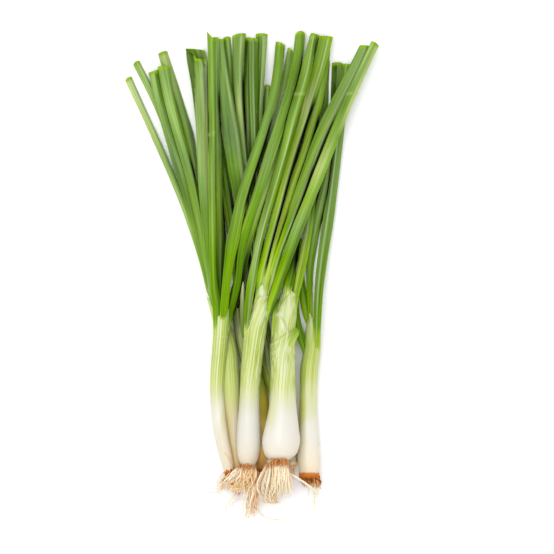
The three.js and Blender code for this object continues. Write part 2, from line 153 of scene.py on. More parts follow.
e_low, e_high = (corners[0] for corners in packed_rings("stalk_e")[1:])
DRAWING = np.array([(e_low[0] + e_high[0]) / 2, e_low[1], 0.0])
DRAWING[:2] -= STALK_E_ROOT_END

STALK_DEPTH = 0.94           # height of a stalk's section over its width, as packed
PACKED_SIDES = 14            # sides of a packed stalk
STALK_FACET = 1 / math.cos(math.pi / PACKED_SIDES)   # how far its corners stand proud
PACKED_ROW = 12.5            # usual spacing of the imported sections
FIRM_ENDS = 8.0              # how much more firmly a batten is held at its two ends

# Least height over the floor of a stalk, a leaf, a root plate, and the middle of a root.
FLOOR_GAP = {"stalk": 0.03, "leaf": 0.05, "plate": 0.2, "root": 0.35}


def strand(node):
    """Cross-sections of a packed strand in drawing millimetres: y, middle x and z, half width w
    and half depth d. A stalk's underside is pressed flat, so its depth comes from its width."""
    y, low, high = packed_rings(node)
    x = (low[:, 0] + high[:, 0]) / 2
    w = (high[:, 0] - low[:, 0]) / 2
    if node.startswith("stalk"):
        d = w * STALK_DEPTH / np.hypot(1, np.gradient(x, y))
        z = high[:, 2] - d * STALK_FACET
    else:
        d = (high[:, 2] - low[:, 2]) / 2
        z = (low[:, 2] + high[:, 2]) / 2
    return {"y": y - DRAWING[1], "x": x - DRAWING[0], "z": z, "w": w, "d": d}


def through(y_known, values, y):
    """A smooth curve through known values: in each span a cubic whose end slopes are those of
    the values beside it, held straight past both ends."""
    slopes = np.gradient(values, y_known)
    k = np.clip(np.searchsorted(y_known, y) - 1, 0, len(y_known) - 2)
    span = y_known[k + 1] - y_known[k]
    t = np.clip((y - y_known[k]) / span, 0, 1)
    p0, p1 = values[k], values[k + 1]
    m0, m1 = slopes[k] * span, slopes[k + 1] * span
    inside = p0 + t * (m0 + t * (3 * (p1 - p0) - 2 * m0 - m1 + t * (2 * (p0 - p1) + m0 + m1)))
    below = np.minimum(y - y_known[0], 0) * slopes[0]
    above = np.maximum(y - y_known[-1], 0) * slopes[-1]
    return inside + below + above


def faired(y, values, stiffness):
    """Values faired as by a batten: the least squares fit that also keeps bending small, with
    bending as the second difference over the spacing, in packed rows, and both ends held."""
    count = len(y)
    if count < 4:
        return values
    rows = np.arange(count - 2)
    before, after = np.diff(y)[:-1] / PACKED_ROW, np.diff(y)[1:] / PACKED_ROW
    bending = np.zeros((count - 2, count))
    bending[rows, rows] = 1 / before
    bending[rows, rows + 1] = -1 / before - 1 / after
    bending[rows, rows + 2] = 1 / after
    pull = np.eye(count)
    pull[0, 0] = pull[-1, -1] = FIRM_ENDS
    return np.linalg.solve(pull + stiffness * bending.T @ bending, pull @ values)


def ease(low, high, value):
    """0 below low, 1 above high and a smooth cubic step between them."""
    t = np.clip((value - low) / (high - low), 0, 1)
    return t * t * (3 - 2 * t)


def hump(value, at, spread):
    """1 at one place and falling away on both sides of it: e to the minus square of the distance
    over the spread."""
    return np.exp(-((value - at) / spread) ** 2)


def turns(sides):
    """The angles of evenly spaced points round a section."""
    return np.arange(sides) * 2 * math.pi / sides


def columns(*rows):
    """Lists with a value for each ring, as columns, so that they go with a value for each side."""
    return [row[:, None] for row in rows]


def wobble(seed, y, wavelength):
    """A slow wave along y between about -1 and 1: three sines whose lengths and phases are
    drawn from the seed."""
    random = np.random.default_rng(seed)
    lengths = wavelength * random.uniform(0.6, 1.7, 3)
    phases = random.uniform(0, 2 * math.pi, 3)
    return sum(np.sin(2 * math.pi * y / span + phase) for span, phase in zip(lengths, phases)) / 3


# ---- meshes -------------------------------------------------------------------------------


def make_piece(name, node, material, points, faces, attributes):
    """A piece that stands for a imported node. points are in drawing millimetres, faces is a list
    of arrays of corner numbers, and attributes maps a name to one value or vector a point."""
    mesh = bpy.data.meshes.new(name)
    metres = (points + DRAWING) * MM
    corners = np.concatenate([f.ravel() for f in faces]).astype(np.int32)
    sizes = np.concatenate([np.full(len(f), f.shape[1]) for f in faces])
    mesh.vertices.add(len(points))
    mesh.vertices.foreach_set("co", metres.astype(np.float32).ravel())
    mesh.loops.add(len(corners))
    mesh.loops.foreach_set("vertex_index", corners)
    mesh.polygons.add(len(sizes))
    mesh.polygons.foreach_set("loop_start", (np.cumsum(sizes) - sizes).astype(np.int32))
    mesh.polygons.foreach_set("use_smooth", np.ones(len(sizes), bool))
    mesh.update(calc_edges=True)
    for key, values in attributes.items():
        if values.ndim == 1:
            kind, field, data = "FLOAT", "value", values
        elif key == "tone":
            kind, field = "FLOAT_COLOR", "color"
            data = np.concatenate([values, np.ones((len(values), 1))], 1)
        else:
            kind, field, data = "FLOAT_VECTOR", "vector", values
        layer = mesh.attributes.new(key, kind, "POINT")
        layer.data.foreach_set(field, data.astype(np.float32).ravel())
    mesh.materials.append(material)
    piece = bpy.data.objects.new(name, mesh)
    bpy.context.scene.collection.objects.link(piece)
    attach(piece, "root")
    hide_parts(node)


def tube_faces(rings, sides, start=0):
    """Quads between neighbouring rings of points, closed round each ring, facing outwards when
    the points run anticlockwise seen from the far end."""
    i = np.arange(rings - 1)[:, None] * sides + start
    j = np.arange(sides)[None]
    right = (j + 1) % sides
    return np.stack([i + j, i + right, i + right + sides, i + j + sides], -1).reshape(-1, 4)


def closed_tube(points, attributes):
    """Closes a grid of rings (rings, sides, 3) with one point at each end. Returns the points,
    the faces and the attributes as flat arrays, with the faces turned to point outwards."""
    rings, sides = points.shape[:2]
    flat = np.concatenate([points.reshape(-1, 3), points[:1].mean(1), points[-1:].mean(1)])
    first, last = rings * sides, rings * sides + 1
    j = np.arange(sides)
    right = (j + 1) % sides
    top = (rings - 1) * sides
    quads = tube_faces(rings, sides)
    caps = np.concatenate([
        np.stack([right, j, np.full(sides, first)], -1),
        np.stack([top + j, top + right, np.full(sides, last)], -1),
    ])
    a, b, c = flat[caps[:, 0]], flat[caps[:, 1]], flat[caps[:, 2]]
    p, q, r, s = (flat[quads[:, n]] for n in range(4))
    volume = np.einsum("ij,ij->", a, np.cross(b, c)) + np.einsum("ij,ij->", p, np.cross(q, r))
    volume += np.einsum("ij,ij->", p, np.cross(r, s))
    if volume < 0:
        quads, caps = quads[:, ::-1], caps[:, ::-1]
    made = {}
    for key, values in attributes.items():
        body = values.reshape(rings * sides, -1)
        ends = [values[:1].mean(1).reshape(1, -1), values[-1:].mean(1).reshape(1, -1)]
        joined = np.concatenate([body, *ends])
        made[key] = joined[:, 0] if joined.shape[1] == 1 else joined
    return flat, [quads, caps], made


# ---- materials ----------------------------------------------------------------------------


def add(tree, kind, inputs=(), **settings):
    """Adds a node with its settings, and sets or links its inputs: a tuple gives them in the
    node's own order, a dict by name or number. A node among them gives its first output."""
    made = tree.nodes.new(kind)
    for key, value in settings.items():
        setattr(made, key, value)
    for key, value in inputs.items() if isinstance(inputs, dict) else enumerate(inputs):
        if isinstance(value, bpy.types.Node):
            value = value.outputs[0]
        if isinstance(value, bpy.types.NodeSocket):
            tree.links.new(value, made.inputs[key])
        else:
            made.inputs[key].default_value = value
    return made


def new_material(name):
    """An empty node material and its tree."""
    material = bpy.data.materials.new(name)
    material.use_nodes = True
    material.node_tree.nodes.clear()
    return material, material.node_tree


FACTOR, COLOUR_A, COLOUR_B, MIXED = 0, 6, 7, 2    # sockets of a Mix node set to colours


def streaks(tree, grain, across, lengthwise, detail):
    """Streaks along a leaf or stalk: noise on the piece's own grain attribute, scaled to their
    width and length in millimetres."""
    at = add(tree, "ShaderNodeMapping", {
        "Vector": grain.outputs["Vector"], "Scale": (1 / across, 1 / across, 1 / lengthwise)})
    return add(tree, "ShaderNodeTexNoise", {
        "Vector": at, "Scale": 1.0, "Detail": detail, "Roughness": 0.6})


def leaf_skin():
    """Spring onion leaf: a waxy green skin over fine lengthwise veins. The veins give light and
    dark streaks 0.75 mm wide, broader bands 2.5 mm wide run over them, and the waxy bloom shows
    as greyish patches 14 mm long and as pale flecks, which are partly painted glints of
    highlight, with a soft satin gloss."""
    material, tree = new_material("leaf_skin_waxy")
    tone, grain, waxy = (add(tree, "ShaderNodeAttribute", attribute_name=name)
                         for name in ("tone", "grain", "wax"))
    waxy = waxy.outputs["Fac"]
    veins = streaks(tree, grain, 0.75, 45, 2.0)
    bands = streaks(tree, grain, 2.5, 90, 2.0)
    patches = streaks(tree, grain, 3.5, 14, 3.0)
    flecks = streaks(tree, grain, 0.45, 2.6, 2.0)

    vein_light = add(tree, "ShaderNodeMapRange", (veins, 0.3, 0.7, 0.7, 1.3))
    band_light = add(tree, "ShaderNodeMapRange", (bands, 0.3, 0.7, 0.8, 1.2))
    light = add(tree, "ShaderNodeMath", (vein_light, band_light), operation="MULTIPLY")
    veined = add(tree, "ShaderNodeVectorMath", {0: tone, "Scale": light}, operation="SCALE")
    # the pale flecks: partly waxy specks, partly painted glints of highlight
    fleck_share = add(tree, "ShaderNodeMapRange", (flecks, 0.7, 0.76, 0.0, 0.55))
    flecks_here = add(tree, "ShaderNodeMath", (fleck_share, waxy), operation="MULTIPLY")
    flecked = add(tree, "ShaderNodeMix", {
        FACTOR: flecks_here, COLOUR_A: veined, COLOUR_B: rgba(seen("#CCE098"))}, data_type="RGBA")
    wax_share = add(tree, "ShaderNodeMapRange", (patches, 0.44, 0.7, 0.0, 0.2))
    wax_here = add(tree, "ShaderNodeMath", (wax_share, waxy), operation="MULTIPLY")
    waxed = add(tree, "ShaderNodeMix", {
        FACTOR: wax_here, COLOUR_A: flecked.outputs[MIXED], COLOUR_B: rgba(seen("#92B468"))},
        data_type="RGBA")
    gloss = add(tree, "ShaderNodeMapRange", (patches, 0.3, 0.7, 0.34, 0.5))
    bump = add(tree, "ShaderNodeBump", {"Height": veins, "Strength": 0.3, "Distance": 0.2 * MM})
    skin = add(tree, "ShaderNodeBsdfPrincipled", {
        "Base Color": waxed.outputs[MIXED], "Roughness": gloss, "IOR": 1.42,
        "Specular IOR Level": 0.06, "Normal": bump})
    add(tree, "ShaderNodeOutputMaterial", {"Surface": skin})
    return material


def stalk_skin():
    """Spring onion stalk: moist white to pale green sheaths, each a layer of juicy tissue under
    a thin clear skin. Whitish and green stripes about 0.4 mm wide follow the veins."""
    material, tree = new_material("stalk_skin_moist")
    tone, grain, stripe = (add(tree, "ShaderNodeAttribute", attribute_name=name)
                           for name in ("tone", "grain", "stripe"))
    stripe = stripe.outputs["Fac"]
    veins = streaks(tree, grain, 0.36, 160, 1.0)

    coloured = tone.outputs["Color"]
    for start, full, share, colour in ((0.48, 0.59, 0.85, "#F2F7C4"), (0.48, 0.36, 0.6, "#A6C22C")):
        striped = add(tree, "ShaderNodeMapRange", (veins, start, full, 0.0, share))
        here = add(tree, "ShaderNodeMath", (striped, stripe), operation="MULTIPLY")
        coloured = add(tree, "ShaderNodeMix", {
            FACTOR: here, COLOUR_A: coloured, COLOUR_B: rgba(seen(colour))},
            data_type="RGBA").outputs[MIXED]
    ribs = add(tree, "ShaderNodeMath", (veins, stripe), operation="MULTIPLY")
    bump = add(tree, "ShaderNodeBump", {"Height": ribs, "Strength": 0.25, "Distance": 0.2 * MM})
    skin = add(tree, "ShaderNodeBsdfPrincipled", {
        "Base Color": coloured, "Roughness": 0.34, "IOR": 1.4, "Specular IOR Level": 0.24,
        "Coat Weight": 0.35, "Coat Roughness": 0.12, "Subsurface Weight": 0.2,
        "Subsurface Radius": (1.0, 0.8, 0.45), "Subsurface Scale": 2 * MM, "Normal": bump})
    add(tree, "ShaderNodeOutputMaterial", {"Surface": skin})
    return material


def root_fibre():
    """Dried fibrous root: cream, rough and without gloss, rust brown where it leaves the plate,
    with a speckle of about 1.1 mm, as coarse as it needs to be to show."""
    material, tree = new_material("root_fibre_dry")
    tone = add(tree, "ShaderNodeAttribute", attribute_name="tone")
    at = add(tree, "ShaderNodeTexCoord").outputs["Object"]
    speckle = add(tree, "ShaderNodeTexNoise", {
        "Vector": at, "Scale": 0.9 / MM, "Detail": 3.0, "Roughness": 0.6})
    light = add(tree, "ShaderNodeMapRange", (speckle, 0.3, 0.7, 0.82, 1.14))
    speckled = add(tree, "ShaderNodeVectorMath", {0: tone, "Scale": light}, operation="SCALE")
    bump = add(tree, "ShaderNodeBump", {
        "Height": speckle, "Strength": 0.4, "Distance": 0.3 * MM})
    fibre = add(tree, "ShaderNodeBsdfPrincipled", {
        "Base Color": speckled, "Roughness": 0.7, "Specular IOR Level": 0.2,
        "Subsurface Weight": 0.35, "Subsurface Radius": (1.0, 0.55, 0.25),
        "Subsurface Scale": 1.2 * MM, "Normal": bump})
    add(tree, "ShaderNodeOutputMaterial", {"Surface": fibre})
    return material


LEAF_SKIN = leaf_skin()
STALK_SKIN = stalk_skin()
ROOT_FIBRE = root_fibre()

# ---- stalks -------------------------------------------------------------------------------

STALK_SIDES = 96
STALK_STEP = 0.6             # spacing of a stalk's rings
SHEATH_STEP = 0.4            # how far an outer sheath stands proud of the one in it
NECK_DEPTH = 9.0             # depth of the opening that the leaves come out of
NECK_WALL = 0.6              # thickness of the neck's wall at its rim
NECK_SLOPE = 0.25            # how much thicker that wall gets for each millimetre down
NECK_RISE = 14.0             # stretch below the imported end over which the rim's shape begins
STALK_GRAIN_APART = 63.0     # how far apart two stalks' stripes are drawn from the noise

# Drawing heights from which, and to which, the white bulb turns into the green shank.
CREAM_ENDS, GREEN_STARTS, STRIPES_START = (38, 52), (40, 58), (38, 58)
SHEATHS_MEET = (70, 40)      # going down, the sheaths' steps fade from the first to the second
LEAN_FROM = 60               # height at which leaning stripes are in their own place

GREEN_EDGE, CREAM_EDGE = seen("#86AA1C"), seen("#E0D0AC")
SHEATH_RIM, SHEATH_SHADOW = seen("#F0F5D4"), seen("#84A036")

# For each stalk: its tones; how strong its stripes are and how they lean, in millimetres
# sideways for each one up; sides, how green its left and right edge are; rim, how the neck's
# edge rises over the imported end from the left, -1, to the right, 1; edges, the lines where
# outer sheaths end, as points (x, y); marks, soft spots of colour (x, y, half width, half
# height, lean, colour, share); gather, a point that the stripes above height gather[2] run
# towards; and swell, where it is wider than packed (height, spread, sideways, width, up).
PLAIN_STALK = {"stripe": 1, "lean": 0, "sides": (0.5, 0.5), "rim": [(-1, 1), (1, 1)],
               "edges": [], "marks": [], "gather": None, "swell": (0, 1, 0, 0, 0)}


def stalk_look(tones, **own):
    """A stalk's look: a plain stalk's, with its own tones and whatever else is its own."""
    return {**PLAIN_STALK, "tones": tones, **own}


STALKS = {
    "a": stalk_look(
        NARROW_TONES, rim=[(-1, 0), (-0.4, -0.5), (0.1, 0.5), (0.5, 3.2), (0.8, 3.5), (1, 1)],
        sides=(0.15, 0.85),
        marks=[(-15.2, 96, 2.4, 5, 0, "#D0E094", 0.9), (-22.4, 94, 3.4, 9, 0.1, "#94B844", 0.9),
            # the pale, dark and pale bands at heights 82.6, 80.6 and 78.8 paint the light and shade
            # of faint crosswise wrinkles
            (-13.4, 92, 1.9, 9, 0, "#86A62C", 0.8), (-19, 82.6, 6, 0.5, 0, "#E4EDC0", 0.5),
            (-19, 80.6, 6, 0.4, 0.1, "#A9BC60", 0.4), (-19, 78.8, 6, 0.4, 0, "#E4EDC0", 0.4),
            (-14, 50, 2.5, 22, 0.03, "#C4D05C", 0.5), (-11.5, 16, 5, 30, -0.12, "#EED8A8", 0.8),
            (-17.4, 31, 3, 12, 0, "#F4E6A4", 0.7), (-19, 8, 8, 30, 0, "#F6ECD0", 0.7)]),
    "b": stalk_look(
        BACK_TONES, stripe=0.6, sides=(0.3, 0.5), swell=(58, 34, -0.9, 2.1, 4.2),
        marks=[(-9.5, 22, 3.5, 20, -0.05, "#F6ECDC", 0.8)]),
    "c": stalk_look(
        SLIM_TONES, lean=0.05, sides=(0.3, 0.9),
        rim=[(-1, 0), (-0.5, 1.5), (0, 1.5), (0.4, -3), (1, -4)],
        edges=[[(-6, 84), (-1.5, 90), (1.5, 101), (4, 106.3), (7, 107.4), (10, 109.2), (13, 112)]],
        marks=[(5.6, 111.6, 3, 6, -0.3, "#F4F8E4", 0.95),
            (9.8, 108.8, 1, 1.5, 0.3, "#A07A24", 0.8), (9.4, 97, 3.4, 15, 0.12, "#86AC08", 0.95),
            (2.6, 70, 0.5, 8, -0.06, "#B99A3C", 0.55), (-1.6, 88.5, 0.7, 4.5, 0.1, "#C7B870", 0.6),
            (6.5, 96, 3, 9, 0.3, "#EEF5D0", 0.5)]),
    "d": stalk_look(
        BROAD_TONES, lean=0.06, sides=(1, 0.5),
        rim=[(-1, -5), (-0.5, -1), (0, 0.5), (0.5, 0.8), (1, -1)], gather=(27, 88, 64),
        swell=(102, 10, -1, 1.2, 0),
        edges=[[(14, 95.5), (15.7, 97.5), (18.3, 103), (21.5, 107.2), (25, 109.3), (29, 111)],
            [(11, 103), (15.3, 97.3), (19.5, 92), (22.6, 86.2), (28, 87.5)],
            [(11, 77.5), (13, 78.7), (18, 81.8), (22.6, 84.8), (28, 86.5)]],
        marks=[(16.6, 105, 4.2, 10, 0.4, "#9ABC3C", 0.8),
            (17.2, 96.4, 2.8, 2.2, 0, "#FAFCEE", 0.8), (22, 99, 4.5, 10, 0.2, "#F4F8DC", 0.6),
            (19.4, 88.8, 1.6, 5, -0.35, "#FDFEF4", 0.95), (25.6, 82, 3.4, 5, 0.5, "#9CC028", 0.7),
            (28.2, 104, 2.6, 9, 0.25, "#B4D44C", 0.7), (13.2, 93, 2.2, 12, 0.05, "#A2C244", 0.75),
            (20, 74, 5.5, 8, 0.2, "#F4F8DC", 0.5), (19.5, 62, 4.5, 12, 0, "#F4FAD6", 0.6),
            (11.5, 36, 4.5, 14, 0, "#ECEFA8", 0.6)]),
    "e": stalk_look(
        NARROW_TONES, stripe=0.8, sides=(0.2, 0.25),
        rim=[(-1, -2), (-0.5, 0), (-0.1, 4), (0.4, 1), (1, 0)],
        edges=[[(29, 80), (33.5, 87), (36, 93), (39, 96), (43, 97)]],
        marks=[(36, 87, 2, 10, 0.1, "#F4F8DC", 0.7), (30, 62, 5, 34, 0, "#A8CA1C", 0.95),
            (36, 43, 12, 17, 0, "#ECEFB4", 0.6), (30.4, 38, 4.5, 20, 0, "#E2E868", 0.75),
            (31, 16, 5, 18, 0, "#FFF6D8", 0.8), (41.5, 84, 4, 12, 0, "#9CBE30", 0.8),
            (36, 84, 6, 16, 0, "#B4CC58", 0.5)]),
    "f": stalk_look(
        OLIVE_TONES, stripe=0.35, swell=(68, 28, -2.2, 2.4, 0),
        # the dark spot high on f is its olive darkened by painted shade, deep between stalks c and
        # d
        marks=[(25, 6, 8, 16, 0, "#EEE2BC", 1), (4, 92, 8, 20, 0, "#3C4800", 0.9)]),
    "g": stalk_look(
        OLIVE_TONES, stripe=0.4, swell=(48, 28, 2.6, 2.8, 2),
        marks=[(-6.5, 82, 2.6, 14, 0, "#C4D468", 0.6)]),
}


def line_at(points, x):
    """Height at x of a smooth line through (x, height) points."""
    places, heights = (np.array(column, float) for column in zip(*points))
    return through(places, heights, x)


def marked(tone, marks, x, height):
    """A tone with soft oval spots of other colours laid over it."""
    for at_x, at_y, half_x, half_y, lean, colour, share in marks:
        off_y = height - at_y
        off = np.hypot((x - at_x - lean * off_y) / half_x, off_y / half_y)
        tone = mixed(tone, seen(colour), share * (1 - ease(0.35, 1.0, off)))
    return tone


def stalk_tones(look, x, height, across, edges):
    """Colour of a stalk: stops by height, cream towards both sides of the bulb and green towards
    those of the shank, a pale rim under each sheath's edge and a shadow over it, and its marks."""
    tone = along(look["tones"], height)
    side = np.abs(across) ** 2.4
    left, right = look["sides"]
    green = np.where(across < 0, left, right) * side * ease(*GREEN_STARTS, height)
    tone = mixed(tone, CREAM_EDGE, 0.35 * side * (1 - ease(*CREAM_ENDS, height)))
    tone = mixed(tone, GREEN_EDGE, 0.9 * green)
    for edge in edges:
        tone = mixed(tone, SHEATH_SHADOW, 0.5 * hump(height - edge, 0.6, 0.6))
        tone = mixed(tone, SHEATH_RIM, 0.6 * hump(height - edge, -0.7, 0.8))
    return marked(tone, look["marks"], x, height)


def stalk_rings(known, look):
    """Rings of a stalk, from the root end to the rim and down again inside the neck. Its squared
    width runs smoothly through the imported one, which rounds the bulb, and a hump adds its swell.
    Returns y, middle x and z, half width w, half depth d, which rings are inside, and the
    stalk's usual half width."""
    bottom, top = known["y"][0], known["y"][-1]
    y = np.linspace(bottom, top, int((top - bottom) / STALK_STEP))
    y = np.concatenate([bottom + 0.02 * (y[1] - bottom) * np.arange(2), y[1:]])
    rim = len(y)
    y = np.concatenate([y, top - 0.05 - NECK_DEPTH * np.linspace(0, 1, 10)])
    inside = np.arange(len(y)) >= rim
    x, z, d = (through(known["y"], known[k], y) for k in "xzd")
    w = np.sqrt(np.maximum(through(known["y"], known["w"] ** 2, y), 0.5))
    size = np.median(w)
    at, spread, sideways, wider, up = look["swell"]
    swell = hump(y, at, spread)
    x, z, w = x + sideways * swell, z + up * swell, w + wider * swell
    d = w * np.clip(d / w, 0.8, 1.0)
    wall = NECK_WALL + NECK_SLOPE * (top - y)
    w = np.where(inside, np.maximum(w - wall, 0.3), w)
    d = np.where(inside, np.maximum(d - wall, 0.3), d)
    return y, x, z, w, d, inside, size


def sheaths(key, offset):
    """A stalk: a round tube over its rings. Each outer sheath adds its step below its own edge,
    and the neck ends in a rim that rises and falls across it, with an opening inside. offset
    sets its stripes apart from those of the other stalks."""
    look = STALKS[key]
    known = strand(f"stalk_{key}")
    top = known["y"][-1]
    *rings, size = stalk_rings(known, look)
    y, x, z, w, d, inside = columns(*rings)
    angle = turns(STALK_SIDES)
    across, up = np.cos(angle) + 0 * y, np.sin(angle) + 0 * y
    rise = line_at(look["rim"], across)
    near = ease(top - NECK_RISE, top, y)
    height = y + rise * near
    slope = through(known["y"], np.gradient(known["x"], known["y"]), y)
    middle = x + slope * rise * near
    edges = [line_at(edge, middle + w * across) for edge in look["edges"]]
    step = 0 * height
    for edge in edges:
        step = step + SHEATH_STEP * ease(0.4, -0.4, height - edge)
    step = step - SHEATH_STEP * len(edges) * (0.4 + 0.6 * ease(*SHEATHS_MEET, height))
    step = np.where(inside, 0, step)
    at_x = middle + (w + step) * across
    at_z = np.maximum(z + (d + step) * up, FLOOR_GAP["stalk"])

    stripes_at = across - look["lean"] * (height - LEAN_FROM) / w
    if look["gather"]:
        to_x, to_y, start = look["gather"]
        pull = 0.22 * ease(start, to_y, height) * (height < edges[-2] + 0.3)
        target = (to_x - middle) / w
        stripes_at = (stripes_at - target * pull) / (1 - pull)
    grain = np.stack([size * stripes_at, 0.8 * size * up + offset, height], -1)
    flat, faces, attributes = closed_tube(np.stack([at_x, height, at_z], -1), {
        "tone": stalk_tones(look, at_x, height, across, edges), "grain": grain,
        "stripe": (ease(*STRIPES_START, height) + 0.06) * look["stripe"]})
    make_piece(f"stalk_{key}_sheaths", f"stalk_{key}", STALK_SKIN,
               flat, faces, attributes)


for number, stalk_key in enumerate(STALKS):
    sheaths(stalk_key, STALK_GRAIN_APART * number)

# ---- the two short pieces beside the necks ------------------------------------------------

STUB_SIDES, STUB_RINGS = 24, 40
STUB_SINK, STUB_ROOT = 1.5, 4.0    # how far its low end goes down, and back into the stalk


def stub(node, tone_low, tone_high, wide, turn, offset):
    """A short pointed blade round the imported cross-sections, closed and rounded at both ends:
    its width follows the square root of the distance from each end, and its low end sinks. It
    is wide times as wide as packed, turn slants its rings, and offset sets its veins apart."""
    known = strand(node)
    low, high = known["y"][0], known["y"][-1]
    y = np.linspace(low - STUB_ROOT, high, STUB_RINGS)
    x, z, w, d = (through(known["y"], known[k], y) for k in "xzwd")
    share = (y - y[0]) / (y[-1] - y[0])
    taper = np.sqrt(np.clip(np.minimum(share * 6, (1 - share) * 4), 0.01, 1)) * wide
    z = z - STUB_SINK * ease(low + 3, low - STUB_ROOT, y)
    angle = turns(STUB_SIDES)
    y, x, z, w, d, share, taper = columns(y, x, z, w, d, share, taper)
    across, up = np.cos(angle) + 0 * y, np.sin(angle) + 0 * y
    points = np.stack([x + w * taper * across, y + turn * w * across, z + d * taper * up], -1)
    tone = mixed(seen(tone_low), seen(tone_high), share ** 1.4 + 0 * across)
    grain = np.stack([w * across, w * up + offset, y + 0 * across], -1)
    flat, faces, attributes = closed_tube(points, {"tone": tone, "grain": grain, "wax": 0 * up})
    make_piece(f"{node}_skin", node, LEAF_SKIN, flat, faces, attributes)


stub("cut_leaf_d", "#D2E47C", "#80AA04", 1.35, -0.3, 3.0)
stub("sheath_tip_c", "#74902C", "#C0CC94", 1.25, 0.0, 5.0)

# ---- leaves -------------------------------------------------------------------------------

LEAF_SIDES = 48
LEAF_STEP = 1.6              # spacing of a leaf's rings
TIP_STEP = 0.5               # the same in the last stretch before the cut
TIP_LENGTH = 5.0             # length of that stretch
BASE_RINGS, HOLLOW_RINGS = 12, 14
LEAF_WALL = 0.45             # thickness of a leaf's wall at the cut
ROUNDNESS = 0.74             # least depth of a leaf over its width; the upper face stays put
HOLLOW = 16.0                # how far the hollow of a leaf is made, behind its cut end
BASE_DEPTH = 11.0            # how far a leaf goes on down into the neck
MERGE_LENGTH = 20.0          # stretch above its base over which a leaf lies down on the stalk
FLARE_LENGTH = 24.0          # stretch above its base over which a leaf's flare dies away
LOW_END = 2.0                # lowest stretch, where the leaf lies wholly on the stalk
REST_GAP = 0.3               # how far the back of a leaf keeps over the stalk that it lies on
EDGE_INSET = 0.2             # how far its edges keep inside the stalk's outline there
WAX_STARTS = (20, 70)        # distances above the base from and to which the waxy bloom, with its flecks and painted glints, comes in
SHADOW_END = 6.0             # how far a gap's shadow takes to come and to go
FIRST_LEAF_SEED = 11
LEAF_GRAIN_APART = 7.0       # how far apart two leaves' veins are drawn from the noise

# How a leaf looks. Its tones are stops of height, left flank and right flank, and between two
# heights they mix. Besides the leaf's own greens they carry painted light and shade: a flank is
# lighter or darker as the light falls on it, paler stops brighten leaves that lie in the shade
# of others, and the darkest stops, night and gap, paint the deep shade between leaves. ridge is
# where the crest runs, from -1 at the left edge to 1 at the right, fold how sharply the leaf is
# folded there, soft how wide the two flanks blend, line how strongly a painted highlight shows
# pale along the crest, and edge how strongly painted light shining through makes the edges lime.
# cut is how far the left and right corner of the cut end stand past the imported end, arch how
# much its middle does, lip how far the upper wall is cut back, and slit (left share, height) how
# the upper wall is torn open on its left side. joints are the heights of old nodes. A leaf with a
# run lies on its stalk and sinks in over that length; one without goes down into the neck. fade
# is where it takes on the stalk's colour: its height, how much higher that is at the edges, how
# squarely it goes up there, and over what length. wide widens the whole leaf, flare only its
# base, bend moves it sideways and fat widens it by (height, amount, spread). gaps are the deep
# shadows painted along an edge: (side, from height, to height, width over half width).
PLAIN_LEAF = {"ridge": 0, "fold": 0.3, "soft": 0.25, "line": 0.15, "edge": 0.7, "cut": None,
              "arch": 0.5, "lip": 0, "slit": None, "joints": [], "run": None, "fade": None,
              "wide": 1, "flare": 0, "bend": [], "gaps": [], "fat": []}


def leaf_look(tones, **own):
    """A leaf's look: a plain leaf's, with the stops of its two flanks read from its tones, and
    whatever else is its own."""
    stops = [stop.split() for stop in tones.split(", ")]
    left, right = ([(float(stop[0]), TONES[stop[flank]]) for stop in stops] for flank in (1, 2))
    return {**PLAIN_LEAF, "left": left, "right": right, **own}


